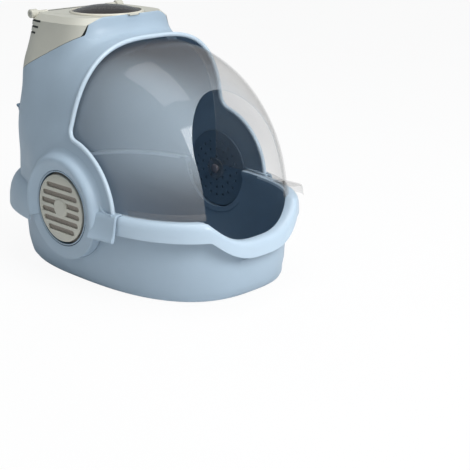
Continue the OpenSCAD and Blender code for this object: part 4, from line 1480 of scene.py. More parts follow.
    def collar(self, f: Finishes) -> Object:
        """Makes the collar at the tower's front: it rises out of the dome in a fillet to a lipped crest.

        Args:
            f: The finishes.

        Returns:
            The collar.
        """
        cover, ring, columns = Deodorizer(self.form), self.form.ring(M.tower_top, 0, 1600), 96
        seat = cover.lid_top - 0.3
        keep = ring[ring[:, 1] < M.deck_front + 4]
        keep = resample(keep[np.argsort(keep[:, 0])], columns)
        n = np.gradient(keep, axis=0)
        n = np.stack([n[:, 1], -n[:, 0], 0 * n[:, 0]], 1)
        n /= np.linalg.norm(n, axis=1)[:, None]
        up = np.array([0.0, 0.0, 1.0])
        low = search(lambda mid: self.form.dome(keep[:, 0], keep[:, 1], mid, 0.0) < 0,
                     np.full(columns, 200.0), np.full(columns, 345.0), 24)[0]
        foot = keep * (1, 1, 0) + up * low[:, None]
        centre = foot + self.collar_radius * (n + up)
        curve = [self.form.strike(centre, -n * math.cos(t) - up * math.sin(t), 60.0)
                 for t in np.linspace(math.pi / 2, 0, 22)]
        for h in np.arange(3.0, 52.0, 3.0):
            curve.append(self.form.strike(centre + up * h, -n + 0 * up, 60.0))
        curve = np.array(curve)
        loops = []
        for j, (x, y, _) in enumerate(keep):
            top = float(min(crest_at(x), seam_at(y)))
            section = curve[:, j]
            height = np.maximum.accumulate(section[:, 2] + np.arange(len(section)) * 1e-6)
            end = np.interp(top - 1.2, height, np.arange(len(section)))
            count = np.arange(len(section))
            at = np.linspace(0, end, 30)
            outer = np.stack([np.interp(at, count, section[:, k]) for k in range(3)], 1)
            outer[0] += (0, 0, -1.2)
            rim = outer[-1]
            level = min(seat, top - 0.8)
            depth = max(3.3, (M.collar_back - rim[1]) / max(0.35, -n[j, 1]))
            inside = [(0.35, top - 0.35), (1.2, top), (2.3, top), (2.9, top - 0.5), (3.0, level),
                      (depth, level), (depth, level - 5), (3.1, level - 5), (3.1, outer[0][2] - 1)]
            back = [[rim[0] - n[j, 0] * o, rim[1] - n[j, 1] * o, v] for o, v in inside]
            loops.append(np.concatenate([outer, back]))
        collar = Mould().loft(loops).build("collar", [f.body, f.inside])
        recess = prism(cover.lid_outline(cover.gap), cover.ledge, 380, "Z")
        notch = slab((-14.6, M.tower_front - 4.6, seat), (14.6, 60, 380))
        for name, cut in (("recess", recess), ("notch", notch)):
            carve(collar, Mould().solid(*cut).build(name, [f.body]))
        return collar

    def arch(self, side: Side, f: Finishes) -> Object:
        """Makes the raised arch round a hub, which leaves room for the tray's rim.

        Args:
            side: Its side.
            f: The finishes.

        Returns:
            The arch.
        """
        top, foot, r = M.hood_half + 22, M.hood_half - 3.7, M.cup_radius + M.seat
        profile = [[r, foot], [r, top - 11], [r + 0.8, top - 9.2], [r + 3, top - 8.3], [r + 8, top - 6.6],
                   [r + 12, top - 4.2], [r + 16, top - 1.6], [r + 19, top - 0.4], [r + 22, top],
                   [r + 25, top - 0.8], [r + 28, top - 3], [r + 30.5, top - 7], [r + 32.4, top - 12],
                   [r + 34.6, top - 16.5], [r + 38.5, top - 20.2], [r + 43, top - 21.9], [r + 43, foot + 1]]
        mould = Mould().turned(profile, 128, side.value, -13, 199)
        arch = mould.build("arch", [f.body, f.inside])
        for face in arch.data.polygons:
            face.material_index = int(abs(face.center.x) < (M.hood_half - 3) * MM)
        limit = M.tray_half + M.rim_flare + 0.7
        x0, x1 = sorted((side.value * 100, side.value * limit))
        box = Mould().solid(*slab((x0, -200, -120), (x1, 200, M.crest + 0.6)))
        carve(arch, box.build("rim_room", [f.body]))
        return arch

    def strap(self, mould: Mould, side: Side) -> None:
        """Adds the strap at the front of the arch that hangs over the tray's rim.

        Args:
            mould: What it is added to.
            side: Its side.
        """
        mid, front_reach = self.strap_y, M.tray_front + M.rim_flare
        half = (M.tray_half + M.rim_flare) * (1 - (mid / front_reach) ** 2.8) ** (1 / 2.8)
        section = rounded_outline([
            [-15, 0.4], [-15, 3.4], [-6, 3.6], [1.5, 2.2], [4.6, -3.5], [6, -12], [9, -28],
            [12.5, -39], [16.5, -45.5], [15.5, -48.5], [11.5, -48], [8.5, -41], [5.5, -28],
            [3, -12], [1.2, -3.5], [-3, 0.5]])
        turn = math.radians(self.strap_turn)
        steps = [(-0.36, -0.8), (-0.345, 0.2), (-0.32, 0.7), (-0.28, 0.1)]
        steps += [(mix(-0.22, 0.62, k / 10), 0.0) for k in range(11)]
        rings = []
        for s, grow in steps:
            u = section[:, 0] + grow
            w = section[:, 1] + grow * 0.4
            if s > 0.3:
                u = u + (s - 0.3) * 8 * np.clip(-section[:, 1] / 40, 0, 1)
            along = s * self.strap_length
            x = half + u * math.cos(turn) - along * math.sin(turn)
            y = -mid + u * math.sin(turn) + along * math.cos(turn)
            rings.append(np.stack([side.value * x, y, M.crest + w], 1))
        mould.loft(rings)

    def gusset(self, mould: Mould, side: Side) -> None:
        """Adds the hollow curve between a hub's arch and the strap ahead of it.

        Args:
            mould: What it is added to.
            side: Its side.
        """
        curve, top = self.gusset_curve, M.crest + 3.4
        mid = math.sqrt((self.gusset_radius + curve) ** 2 - (top + curve) ** 2)
        turn = math.atan2(-(top + curve), mid)
        arc = [[-mid + curve * math.cos(t), top + curve + curve * math.sin(t)]
               for t in np.linspace(-math.pi / 2, turn, 15)]
        line = np.array([[-mid - 14, top]] + arc)
        rings = []
        for y, v in line:
            reach = mix(219.0, 217.5, min(1.0, max(0.0, (y + mid) / curve)))
            low = M.crest + 0.7
            soft = min(1.0, (v - low) / 8)
            section = rounded_outline([
                [210.4, low], [210.4, v], [reach - 4 * soft, v], [reach - soft, v - 1.2 * soft],
                [reach, v - 4 * soft], [reach, low]], 1)
            rings.append(np.stack([side.value * section[:, 0], np.full(len(section), y), section[:, 1]], 1))
        end = rings[-1] + (0, 12.0, 0)
        mould.loft(rings + [end])

    def deck(self, obj: Object) -> None:
        """Cuts the skin along the seam's slope and closes it with the deck.

        Args:
            obj: The skin.
        """
        normal = Vector((0, math.sin(DECK_TURN), math.cos(DECK_TURN)))
        at = Vector(place(np.array([[0, M.deck_front, M.shoulder]]))[0])
        bm = bmesh.new()
        bm.from_mesh(obj.data)
        cut = bmesh.ops.bisect_plane(bm, geom=bm.verts[:] + bm.edges[:] + bm.faces[:], plane_co=at,
                                     plane_no=normal, clear_outer=True)
        edges = [e for e in cut["geom_cut"] if isinstance(e, bmesh.types.BMEdge) and e.is_boundary]
        bmesh.ops.contextual_create(bm, geom=edges)
        bm.to_mesh(obj.data)
        bm.free()

    def build(self, f: Finishes) -> None:
        """Makes the hood and puts it on its body.

        Args:
            f: The finishes.
        """
        outer, inner = self.skin_rows(0.0), self.skin_rows(M.wall)
        skin = Mould().sheet(outer, inner, 1).build("skin", [f.body, f.inside])
        self.deck(skin)
        hole = Mould().lathe(disc(self.vent_radius, -9, 9), (0, 0, 0), 72).build("vent_hole", [f.body])
        carve(skin, shift(hole, (0, self.vent_y, float(seam_at(self.vent_y))), -DECK_TURN))
        extra = Mould()
        self.skirt(extra)
        for side in Side:
            self.lobe(extra, side)
            self.strap(extra, side)
            self.gusset(extra, side)
        trim = extra.build("hood_trim", [f.body, f.inside])
        arches = [self.arch(side, f) for side in Side]
        merge([skin, trim, self.collar(f)] + arches, "hood_shell_dressed")
        fit_out(skin, Body.HOOD, "body_plastic", "hood_shell", "hub_surround_left", "hub_surround_right")
        path = self.bead_path()
        # The bead takes the lighter painted-highlight blue.
        bead = Mould().tube(path, np.full(len(path), self.bead), 14).build("hood_edge_bead", [f.bead_highlight], 60)
        fit_out(bead, Body.HOOD, "body_plastic")


def merge(objects: Sequence[Object], name: str) -> Object:
    """Joins objects with the same material slots into the first of them.

    Args:
        objects: The objects.
        name: The name of the whole.

    Returns:
        The whole.
    """
    target = objects[0]
    bm = bmesh.new()
    for obj in objects:
        bm.from_mesh(obj.data)
    bm.to_mesh(target.data)
    bm.free()
    for obj in objects[1:]:
        bpy.data.objects.remove(obj)
    target.name = name
    target.data.name = name
    soften(target.data)
    return target


# ---- Hub vents ----


@dataclass
class HubVent:
    """A filter cup with its carbon pad, pivot stud and slotted cover, on one side of the hood."""

    side: Side
    cup_base: float = 206.5
    cup_mouth: float = 226.0
    slot: float = 10.6
    pitch: float = 17.5
    boss: float = 19.0
    trim: float = 2.0
    hole: float = 2.8
    hole_rings: tuple[tuple[int, int], ...] = ((26, 8), (44, 14), (61, 20))
    knob_end: float = 200.7
    stud_end: float = 214.5

    def build(self, f: Finishes, pegs: RepeatTree, slots: RepeatTree) -> None:
        """Makes the pieces and puts them on their bodies.

        Args:
            f: The finishes.
            pegs: The tree that makes the cutters of the cup's holes.
            slots: The tree that makes the cutters of the cover's slots.
        """
        word, s = self.side.word, self.side.value
        base, mouth, r = self.cup_base, self.cup_mouth, M.cup_radius
        # The cup's walls take the dark painted-shade blue; the faces at its mouth get the body blue.
        cup = Mould().turned([
            [7.1, base], [84, base], [85, base + 1], [85, base + 2], [84.5, base + 2.5], [r, base + 2.5],
            [r, mouth - 1], [r - 0.6, mouth], [r - 2.4, mouth], [r - 3, mouth - 1], [r - 3, base + 2.5],
            [15, base + 2.5], [14, base + 3.5], [14, base + 11.5], [13.5, base + 12], [7.1, base + 12]],
            120, s).build("cup", [f.hollow_shade])
        for ring, count in self.hole_rings:
            peg = pegs.run("pegs", {"Count": count, "Ring radius": ring * MM, "Hole radius": self.hole * MM,
                                    "Length": 12 * MM})
            carve(cup, shift(peg, (s * (base + 1), 0, 0)))
        cup.name = f"filter_cup_dressed_{word}"
        cup.data.materials.append(f.body)
        for face in cup.data.polygons:
            p = about_pivot(face.center)
            if abs(p.x) > mouth - 2 and math.hypot(p.y, p.z) > r - 3.2:
                face.material_index = 1
        fit_out(cup, Body.HOOD, "inner_plastic", f"filter_cup_{word}")
        pad = Mould().turned(rounded_outline(disc(72, base + 3, base + 10.6, 14.4)), 72, s)
        pad = pad.build(f"carbon_pad_dressed_{word}", [f.screen, f.hollow_shade])
        for face in pad.data.polygons:
            face.material_index = int(abs(face.center.x) < (base + 4) * MM)
        fit_out(pad, Body.HOOD, "carbon_felt", f"carbon_pad_{word}")
        self.stud(f)
        self.cover(f, slots)

    def stud(self, f: Finishes) -> None:
        """Makes the stud that the visor turns on, with a rounded knob inside the cabin.

        Args:
            f: The finishes.
        """
        s, word, inner, end = self.side.value, self.side.word, self.knob_end, self.stud_end
        knob = [[0, inner - 4], [5.5, inner - 4], [8.6, inner - 3.2], [10.2, inner - 1.4],
                [10.4, inner - 0.4], [10.0, inner], [7, inner], [7, end - 0.2], [6.6, end], [0, end]]
        stud = Mould().turned(knob, 48, s).build(f"pivot_stud_dressed_{word}", [f.knob])
        fit_out(stud, Body.HOOD, "stud_plastic", f"pivot_stud_{word}")

    def cover(self, f: Finishes, slots: RepeatTree) -> None:
        """Makes the slotted cover that turns out of the cup, with the screen behind its slots.

        Args:
            f: The finishes.
            slots: The tree that makes the slots' cutters.
        """
        s, word, g = self.side.value, self.side.word, M.grille_radius - self.trim
        out, back, b = self.cup_mouth + 2, self.cup_mouth - 1, self.boss
        plate = [[0, back], [g - 6, back], [g - 6, back - 6], [g - 3.6, back - 6], [g - 3.5, back - 2],
                 [g - 0.3, back - 1.2], [g, back - 0.6], [g, out - 1.4], [g - 0.4, out - 0.5], [g - 1.3, out],
                 [0, out]]
        cover = Mould().turned(plate, 128, s).build("cover", [f.beige])
        rows = slots.run("rows", {"Pitch": self.pitch * MM, "Slot": self.slot * MM, "Reach": (g - 8) * MM,
                                  "Depth": 24 * MM})
        carve(cover, shift(rows, (s * back, 0, 0)), crossing=True)
        badge = [[0, back - 2], [b + 1.5, back - 2], [b + 1.5, out - 0.6], [b, out + 0.2],
                 [b - 0.6, out + 1.2], [b - 2, out + 1.9], [b - 5, out + 2.1], [0, out + 2.2]]
        carve(cover, Mould().turned(badge, 64, s).build("badge", [f.beige]), join=True)
        pin = Mould().turned(disc(4, self.stud_end + 0.4, back + 1), 24, s)
        for k in range(3):
            pin.turned(disc(g + 1, back - 6.8, back - 4.4, g - 5), 10, s, 120 * k, 120 * k + 22)
        merge([cover, pin.build("pin", [f.beige])], f"vent_cover_dressed_{word}")
        body = Body.VENT_LEFT if self.side is Side.LEFT else Body.VENT_RIGHT
        screen = Mould().turned(disc(g - 6.4, back - 1.6, back - 0.6, 4.3), 72, s)
        fit_out(screen.build(f"vent_screen_{word}", [f.screen]), body, "trim_plastic")
        fit_out(cover, body, "trim_plastic", f"vent_grille_{word}")


# ---- Visor ----


@dataclass
class Visor:
    """The clear visor: a shell of one radius about the pivots, open where the cat goes in."""

    entrance_half: float = 110.0
    straight: float = 114.0
    arch: float = 118.0
    band: float = 12.0
    band_step: float = 4.0
    band_end: float = 1.16
    tab_reach: float = 36.0
    tab_length: float = 58.0
    tab_y: float = 235.0
    ear_in: float = 201.0
    pinch: float = 22.0

    def surface(self, u: np.ndarray, q: np.ndarray, i: float) -> np.ndarray:
        """Points of the visor's face.

        Args:
            u: Section angles.
            q: Shares of the way from the lower edge to the upper.
            i: Inset of the face.

        Returns:
            The points.
        """
        radius, half = M.visor_radius - i, M.visor_half - i
        r = radius * np.abs(np.cos(u)) ** (2 / M.square)
        x = half * spow(np.sin(u), 2 / M.square)
        low = np.arcsin(np.clip((M.crest + M.seat) / np.maximum(r, 13), -1, 1))
        phi = mix(low, math.radians(M.visor_span), q)
        return np.stack([x, -r * np.cos(phi), r * np.sin(phi)], -1)

    def uq(self, x: float, v: float) -> tuple[float, float]:
        """The section angle and share of a point of the visor.

        Args:
            x: Where it is across the box.
            v: Its height.

        Returns:
            The angle and the share.
        """
        u = math.copysign(math.asin(min(1, abs(x) / M.visor_half) ** (M.square / 2)), x)
        r = M.visor_radius * math.cos(u) ** (2 / M.square)
        low = math.asin((M.crest + M.seat) / r)
        return u, (math.asin(v / r) - low) / (math.radians(M.visor_span) - low)

    def build(self, f: Finishes) -> None:
        """Makes the visor and puts it on its body.

        Args:
            f: The finishes.
        """
        e, straight = self.entrance_half, self.straight
        inner_edge = [self.uq(-e, v) for v in np.linspace(M.crest + M.seat, straight, 16)]
        inner_edge += [self.uq(-e * math.cos(t), straight + self.arch * math.sin(t))
                       for t in np.linspace(0, math.pi, 61)[1:-1]]
        inner_edge += [self.uq(e, v) for v in np.linspace(straight, M.crest + M.seat, 16)]
        far = math.acos((self.pinch / M.visor_radius) ** (M.square / 2))
        corner, steps = 9, 46
        top = len(inner_edge) - 2 * corner
        outer_edge = [(-far, k / corner) for k in range(corner)]
        outer_edge += [(mix(-far, far, k / (top - 1)), 1.0) for k in range(top)]
        outer_edge += [(far, 1 - k / corner) for k in range(1, corner + 1)]
        a, b = np.array(inner_edge), np.array(outer_edge)
        uq = a[None] + (b - a)[None] * np.linspace(0, 1, steps)[:, None, None]
        outer = self.surface(uq[..., 0], uq[..., 1], 0.0)
        inner = self.surface(uq[..., 0], uq[..., 1], M.visor_wall)
        mould = Mould().sheet(outer, inner)
        self.rim_band(mould)
        for side in Side:
            inner, outer = self.ear_in, M.visor_half
            mould.turned([[7.06, inner], [23.4, inner], [24, inner + 0.6], [24, outer - 0.8], [23.2, outer],
                          [7.06, outer]], 64, side.value)
        fit_out(mould.build("visor_dressed", [f.visor], 40), Body.VISOR, "clear_plastic", "visor")
        fit_out(self.lift_tab(f), Body.VISOR, "clear_plastic", "visor_lift_tab")

    def rim_band(self, mould: Mould) -> None:
        """Adds the thicker seating band along each side of the visor's lower edge.

        Args:
            mould: What it is added to.
        """
        start = math.asin((self.entrance_half / M.visor_half) ** (M.square / 2))
        for side in Side:
            rings = []
            for u in np.linspace(start, self.band_end, 44):
                r = M.visor_radius * math.cos(u) ** (2 / M.square)
                step = self.band_step * min(1.0, (self.band_end - u) / 0.1 + 0.05)
                loop = []
                for out, v in ((-1.2, 0), (step * 0.8, 0), (step, 1.2), (step, self.band - 2.5),
                               (step * 0.6, self.band - 0.6), (0.2, self.band + 0.6), (-1.2, self.band)):
                    radius = M.visor_radius + out
                    rr = r * radius / M.visor_radius
                    x = (M.visor_half + out * 0.5) * math.sin(u) ** (2 / M.square)
                    height = M.crest + M.seat + v
                    loop.append([side.value * x, -math.sqrt(max(rr * rr - height * height, 1)), height])
                rings.append(np.array(loop))
            mould.loft(rings)

    def lift_tab(self, f: Finishes) -> Object:
        """Makes the lift tab that reaches over the rim at the visor's right.

        Args:
            f: The finishes.

        Returns:
            The tab.
        """
        reach = self.tab_reach
        root = float(dome_x(self.tab_y, M.visor_radius, M.visor_half)) + 1
        outline = np.array([[-3, 4], [-3, 6.4], [reach * 0.35, 6.2], [reach * 0.6, 5.4], [reach * 0.9, 2],
                            [reach, -6], [reach + 3, -20], [reach + 0.8, -20], [reach - 2.4, -6],
                            [reach * 0.85, 0.4], [reach * 0.6, 3], [reach * 0.35, 3.6]])
        rings = []
        for s in np.linspace(-0.5, 0.5, 15):
            width = 1 - 0.25 * abs(2 * s) ** 4
            x = root + np.where(outline[:, 0] > 0, outline[:, 0] * width, outline[:, 0])
            rings.append(np.stack([x, np.full(len(x), -self.tab_y + s * self.tab_length),
                                   M.crest + M.seat + outline[:, 1]], 1))
        tab = Mould().loft(rings).build("visor_lift_tab_dressed", [f.visor], 50)
        return rounded(tab, 0.7)


# ---- Deodorizer ----


@dataclass
class Deodorizer:
    """The charcoal deodorizer on the tower: housing, hinged lid, smoked lens, basket and charcoal."""

    form: HoodForm
    lens_y: float = 114.0
    lens: float = 72.0
    rise: float = 13.0
    bezel: float = 5.0
    hinge_y: float = 212.0
    hinge_v: float = 351.0
    knuckle: float = 9.0
    knuckle_in: float = 105.0
    basket: float = 60.0
    basket_depth: float = 26.0
    gap: float = 0.6
    edge: float = 12.0
    grooves: int = 3
    groove_pitch: float = 12.0
    groove_half: float = 2.1
    groove_depth: float = 1.5
    groove_from: float = 70.0
    barrel: float = 104.0

    @property
    def lid_top(self) -> float:
        """Height of the lid plate's top."""
        return self.hinge_v + 2.5

    @property
    def ledge(self) -> float:
        """Height of the ledge that the lid and the basket lie on."""
        return self.lid_top - 3.3

    def lid_outline(self, grow: float) -> np.ndarray:
        """Plan outline of the lid, round at the lens and widening to the hinge.

        Args:
            grow: How much wider than the lid it is.

        Returns:
            Its points.
        """
        r, k = self.lens + self.bezel + 2.5 + grow, self.knuckle_in - 1 + grow
        left = [[-k, self.hinge_y + grow], [-k, self.hinge_y - 6]]
        arc = [[r * math.cos(t), self.lens_y + r * math.sin(t)]
               for t in np.linspace(-math.pi * 1.02, math.pi * 0.02, 64)]
        right = [[k, self.hinge_y - 6], [k, self.hinge_y + grow]]
        return np.array(left + arc + right)

    def corner_grooves(self) -> Mould:
        """The cutters of the vents that follow the housing's rear corners.

        Returns:
            The mould with them.
        """
        slots = Mould()
        for s in (-1, 1):
            for k in range(self.grooves):
                v = self.hinge_v - self.knuckle - 2.5 - self.groove_pitch * k
                outer, inner = self.form.ring(v, -3, 720), self.form.ring(v, self.groove_depth, 720)
                keep = outer[:, 0] * s > self.groove_from
                keep &= (outer[:, 1] > self.hinge_y - 42 + 8 * k) & (outer[:, 1] < self.hinge_y + 22)
                slot = np.concatenate([outer[keep], inner[keep][::-1]])[:, :2]
                slots.solid(*prism(slot, v - self.groove_half, v + self.groove_half, "Z"))
        return slots

    def housing(self, f: Finishes) -> None:
        """Makes the housing with its lid recess, basket hole, corner vents and knuckles.

        Args:
            f: The finishes.
        """
        top, ledge, edge, gap = self.lid_top - 0.3, self.ledge, self.edge, self.gap
        low, far = float(seam_at(M.hood_rear)) - 12, M.hood_rear + 30
        heights = [(v, 0.0) for v in np.arange(low, top - 14, 9.0)]
        heights += [(top - edge * math.cos(t), edge - edge * math.sin(math.pi / 2 - t))
                    for t in np.linspace(0, math.pi / 2, 10)]
        shell = Mould().loft([self.form.ring(v, i) for v, i in heights]).build("housing", [f.beige, f.dark])
        side = [[-M.hood_rear, 0], [-M.hood_rear, M.tower_top + 30], [M.collar_back + gap, M.tower_top + 30]]
        side += [[y + gap, float(seam_at(y)) + gap] for y in np.linspace(M.collar_back, M.deck_front, 13)]
        side += [[far, float(seam_at(far)) + gap], [far, 0]]
        carve(shell, Mould().solid(*prism(side, -260, 260)).build("below", [f.dark]))
        hollow = Mould().loft([self.form.ring(v, i) for v, i in (
            (low - 4, 2.5), (low + 60, 2.5), (ledge - 30, 2.5), (ledge - 11, 3.5), (ledge - 2.5, 10.5))])
        carve(shell, hollow.build("hollow", [f.dark]))
        recess = Mould().solid(*prism(self.lid_outline(gap), ledge, ledge + 20, "Z"))
        carve(shell, recess.build("recess", [f.beige]))
        hole = Mould().lathe(disc(self.basket + gap, -20, 20), (0, self.lens_y, ledge), 72)
        carve(shell, hole.build("hole", [f.beige]))
        slots, reach = self.corner_grooves(), self.barrel
        slots.solid(*slab((-reach, self.hinge_y - 8, ledge - 7), (reach, self.hinge_y + 8, ledge + 30)))
        # The vent slots' walls take the near-black painted shade.
        carve(shell, slots.build("vents", [f.dark]), crease=30)
        shell.name = "deodorizer_housing_dressed"
        fit_out(shell, Body.HOOD, "trim_plastic", "deodorizer_housing")
        for side_of in Side:
            s, k = side_of.value, self.knuckle
            start = self.knuckle_in if s > 0 else -self.knuckle_in - 18
            knuckle = Mould().lathe([[2.6, 0], [k - 1.5, 0], [k, 1.5], [k, 16.5], [k - 1.5, 18], [2.6, 18]],
                                    (start, self.hinge_y, self.hinge_v), 48, "X")
            fit_out(knuckle.build(f"hinge_knuckle_{side_of.word}", [f.beige]), Body.HOOD, "trim_plastic")

    def lid(self, f: Finishes) -> None:
        """Makes the lid with its hinge barrels, finger tab, bezel and lens.

        Args:
            f: The finishes.
        """
        top = self.lid_top
        plate = Mould().solid(*prism(self.lid_outline(0), top - 3.0, top, "Z")).build("lid", [f.beige])
        hole = Mould().lathe(disc(self.lens - 2, -9, 9), (0, self.lens_y, top), 96)
        carve(plate, hole.build("lens_hole", [f.beige]))
        barrels = Mould()
        for s in (-1, 1):
            barrels.lathe([[2.55, 0], [5, 0], [5.5, 0.5], [5.5, 24.5], [5, 25], [2.55, 25]],
                          (self.barrel - 25 if s > 0 else -self.barrel, self.hinge_y, self.hinge_v), 32, "X")
        merge([plate, barrels.build("barrels", [f.beige])], "deodorizer_lid_dressed")
        rounded(plate, 0.7, 2)
        fit_out(plate, Body.LID, "trim_plastic", "deodorizer_lid")
        r, b = self.lens, self.bezel
        ring = Mould().lathe(rounded_outline([
            [r + 0.3, 0], [r + b, 0], [r + b, 1], [r + b - 1.5, 3], [r + 1.8, 4.2], [r + 0.3, 3.6]], 1),
            (0, self.lens_y, top), 128)
        fit_out(ring.build("lens_bezel_dressed", [f.cream]), Body.LID, "bezel_plastic", "lens_bezel")
        sphere = (r * r + self.rise ** 2) / (2 * self.rise)

        def height(q: float) -> float:
            """Height of the lens's inner face at radius q."""
            return math.sqrt(sphere * sphere - q * q) - sphere + self.rise

        steps = [r * k / 20 for k in range(21)]
        lens = Mould().lathe([[q, height(q) + 2] for q in steps] + [[q, height(q)] for q in reversed(steps)],
                             (0, self.lens_y, top), 96)
        fit_out(lens.build("smoked_lens_dressed", [f.lens]), Body.LID, "smoked_plastic", "smoked_lens")
        y0, y1 = M.tower_front - 4.0, self.lens_y - r - b - 0.3
        tab = Mould().solid(*slab((-14, y0, top), (14, y1, top + 3)))
        tab = rounded(tab.build("lid_finger_tab_dressed", [f.beige, f.dark]), 0.9)
        fit_out(tab, Body.LID, "trim_plastic", "lid_finger_tab")
        # Painted shade: dark blocks at the finger tab's ends stand in for the shade in its notches.
        ends = Mould()
        for s in (-1, 1):
            ends.solid(*slab((s * 12.6 - 1.1, y0 - 0.2, top + 0.6), (s * 12.6 + 1.1, y0 + 4, top + 2.6)))
        fit_out(rounded(ends.build("lid_tab_notch_shade", [f.dark]), 0.3), Body.LID, "trim_plastic")

    def filling(self, f: Finishes, grains: RepeatTree) -> None:
        """Makes the basket and the charcoal in it.

        Args:
            f: The finishes.
            grains: The tree that strews the grains.
        """
        ledge, r, depth = self.ledge, self.basket, self.basket_depth
        cup = Mould().lathe([[0, 0], [r - 1, 0], [r, 1], [r, depth], [r + 3, depth], [r + 3, depth + 1.4],
                             [r + 2.4, depth + 2], [r - 2, depth + 2], [r - 2, 2], [0, 2]],
                            (0, self.lens_y, ledge - depth), 96).build("charcoal_basket_dressed", [f.basket])
        fit_out(cup, Body.HOOD, "basket_plastic", "charcoal_basket")
        bed = Mould().lathe([[0, 0], [r - 2.6, 0], [r - 2.6, 18.5], [r - 6, 19.4], [0, 19.4]],
                            (0, self.lens_y, ledge - depth + 2.3), 64).build("bed", [f.charcoal])
        strewn = grains.run("grains", {"Radius": (r - 5) * MM, "Density": 90000.0, "Grain": 2.4 * MM})
        shift(strewn, (0, self.lens_y, ledge - depth + 21.6))
        merge([bed, strewn], "charcoal_fill_dressed")
        fit_out(bed, Body.HOOD, "charcoal", "charcoal_fill")

    def build(self, f: Finishes, grains: RepeatTree) -> None:
        """Makes the deodorizer's pieces, and paints the CAD's vent on the deck under them.

        Args:
            f: The finishes.
            grains: The tree that strews the charcoal's grains.
        """
        self.housing(f)
        self.lid(f)
        self.filling(f, grains)
        repaint(frame["nodes"]["deck_vent"], f.body)


def repaint(obj: Object, material: Material) -> None:
    """Gives a CAD node a finish.

    Args:
        obj: The node.
        material: The finish.
    """
    if not obj.data.materials:
        obj.data.materials.append(material)
    for k in range(len(obj.material_slots)):
        obj.material_slots[k].material = material


# ---- Scoop pocket ----


@dataclass
class ScoopPocket:
    """The open pocket on the hood's rear that holds the scoop."""

    form: HoodForm
    half: float = 90.0
    top: float = 140.0
    height: float = 62.0
    taper: float = 13.0
    root: float = 236.0
    reach: float = 338.0
    square: float = 7.0
    columns: int = 160

    def ring(self, v: float, i: float) -> np.ndarray:
        """Ring of the pocket's outside.

        Args:
            v: Its height.
            i: Its inset.

        Returns:
            The points.
        """
        t = (self.top - v) / self.height
        half, out = self.half - 5 * t - i, self.reach - self.taper * t - i
        mid, deep = (self.root + out) / 2, (out - self.root) / 2
        a = np.linspace(0, 2 * np.pi, self.columns, endpoint=False)
        e = 2 / self.square
        return np.stack([half * spow(np.cos(a), e), mid + deep * spow(np.sin(a), e), v + 0 * a], 1)

    def back_wall(self, gap: float) -> Mould:
        """The room that the hood's rear wall takes.

        Args:
            gap: How much wider than the wall it is.

        Returns:
            The mould with it.
        """
        low = self.top - self.height
        rings = []
        for k in np.linspace(-0.4, 1.4, 16):
            v, a = low + self.height * k, np.radians(np.linspace(0, 180, 121))
            p = self.form.wall(a, np.full(a.shape, v), 0)
            r = np.hypot(p[:, 0], p[:, 1]) + gap
            rings.append(np.stack([r * np.cos(a), r * np.sin(a), np.full(a.shape, v)], 1))
        return Mould().loft(rings)

    def build(self, f: Finishes) -> None:
        """Makes the pocket and puts it on the hood.

        Args:
            f: The finishes.
        """
        low, top = self.top - self.height, self.top
        levels = [(low, 5), (low + 0.8, 3), (low + 2.4, 1), (low + 5, 0)]
        levels += [(v, 0) for v in np.linspace(low + 12, top - 6, 7)]
        levels += [(top - 5, -0.6), (top - 4.2, -1.7), (top - 3, -2), (top - 0.8, -2), (top, -1.4)]
        # Painted shade: the pocket's outside takes the darker shaded blue, and its hollow takes the dark
        # painted-shade blue.
        pocket = Mould().loft([self.ring(*level) for level in levels]).build("pocket", [f.inside, f.hollow_shade])
        levels = ((low + 3, 5), (low + 7, 3), (top - 3, 3), (top + 1, 2.2))
        room = Mould().loft([self.ring(*level) for level in levels]).build("room", [f.hollow_shade])
        carve(room, self.back_wall(3.6).build("wall", [f.hollow_shade]))
        carve(pocket, room)
        carve(pocket, self.back_wall(0.4).build("wall", [f.inside]))
        pocket.name = "scoop_pocket_dressed"
        fit_out(pocket, Body.HOOD, "body_plastic", "scoop_pocket")


# ---- Studio ----


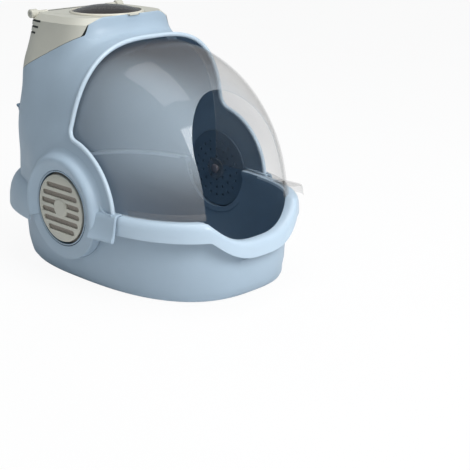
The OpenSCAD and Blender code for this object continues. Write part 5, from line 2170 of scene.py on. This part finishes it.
@dataclass
class Studio:
    """Pale floor, soft lights and the camera."""

    camera_at: tuple[float, float, float] = (-1.5, -1.724, 0.8)
    camera_turn: tuple[float, float, float] = (71.71, 0.0, -45.67)
    lens: float = 85.98
    floor_glow: float = 0.93
    sky: Colour = (0.86, 0.94, 1.0, 1.0)
    sky_strength: float = 0.36

    def build(self) -> None:
        """Makes the floor, the world, the lights and the camera."""
        scene = bpy.context.scene
        scene.view_settings.view_transform = "Standard"
        data = bpy.data.cameras.new("camera")
        data.lens, data.sensor_width = self.lens, 36.0
        camera = bpy.data.objects.new("camera", data)
        camera.location = (self.camera_at[0], self.camera_at[1] + HUB_Y * MM, self.camera_at[2])
        camera.rotation_euler = [math.radians(a) for a in self.camera_turn]
        scene.collection.objects.link(camera)
        scene.camera = camera
        self.floor()
        self.world()
        self.light("key", (0.0, -2.7, 2.3), 1.6, 84.0)
        self.light("side", (2.4, -1.4, 1.6), 1.4, 3.0)
        self.light("top", (0.2, 0.0, 2.7), 1.8, 25.0)
        self.light("fill", (-2.6, 0.6, 1.3), 1.6, 0.8)

    def light(self, name: str, at: tuple[float, float, float], size: float, power: float) -> None:
        """Adds a square soft light that points at the box.

        Args:
            name: Its name.
            at: Its place.
            size: Its width.
            power: Its power in watts.
        """
        data = bpy.data.lights.new(name, "AREA")
        data.size, data.energy = size, power
        lamp = bpy.data.objects.new(name, data)
        lamp.location = at
        lamp.rotation_euler = (Vector((0, 0, 0.25)) - Vector(at)).to_track_quat("-Z", "Y").to_euler()
        bpy.context.scene.collection.objects.link(lamp)

    def floor(self) -> None:
        """Adds the pale floor, which the camera sees as white with the box's shadow on it."""
        mesh = bpy.data.meshes.new("floor")
        mesh.from_pydata([(-8, -8, 0), (8, -8, 0), (8, 8, 0), (-8, 8, 0)], [], [(0, 1, 2, 3)])
        floor = bpy.data.objects.new("floor", mesh)
        bpy.context.scene.collection.objects.link(floor)
        n = Nodes("pale_floor")
        n.tint(n.noise(3.0).outputs["Fac"], (0.8, 0.8, 0.8, 1), (0.84, 0.84, 0.84, 1))
        n.set(Roughness=0.7)
        glow = n.add("ShaderNodeEmission", in_Strength=1.0)
        path, blend = n.add("ShaderNodeLightPath"), n.add("ShaderNodeMixShader")
        n.link(n.math("MULTIPLY", path.outputs["Is Camera Ray"], self.floor_glow), blend.inputs["Fac"])
        n.link(n.shader.outputs[0], blend.inputs[1])
        n.link(glow.outputs[0], blend.inputs[2])
        n.link(blend.outputs[0], n.tree.nodes["Material Output"].inputs["Surface"])
        mesh.materials.append(n.material)

    def world(self) -> None:
        """Sets the world: white to the camera, a soft cool grey as a light."""
        world = bpy.data.worlds.new("studio")
        bpy.context.scene.world = world
        world.use_nodes = True
        tree = world.node_tree
        back = tree.nodes["Background"]
        path, blend = tree.nodes.new("ShaderNodeLightPath"), tree.nodes.new("ShaderNodeMixShader")
        white = tree.nodes.new("ShaderNodeBackground")
        for node, colour, strength in ((white, (1, 1, 1, 1), 1.0), (back, self.sky, self.sky_strength)):
            node.inputs["Color"].default_value = colour
            node.inputs["Strength"].default_value = strength
        tree.links.new(path.outputs["Is Camera Ray"], blend.inputs["Fac"])
        tree.links.new(back.outputs[0], blend.inputs[1])
        tree.links.new(white.outputs[0], blend.inputs[2])
        tree.links.new(blend.outputs[0], tree.nodes["World Output"].inputs["Surface"])


def main() -> None:
    """Builds the studio and every sub-assembly in order."""
    logging.basicConfig(level=logging.INFO, format="%(message)s")
    Studio().build()
    f, form = Finishes(), HoodForm()
    pegs, slots, grains = hole_ring_tree(f.hollow_shade), slot_rows_tree(f.beige), granule_tree(f.charcoal)
    Tray().build(f)
    Hood(form).build(f)
    for side in Side:
        HubVent(side).build(f, pegs, slots)
    Visor().build(f)
    Deodorizer(form).build(f, grains)
    ScoopPocket(form).build(f)
    for side in Side:
        repaint(frame["nodes"][f"hinge_pin_{side.word}"], f.steel)


if __name__ == "__main__":
    main()
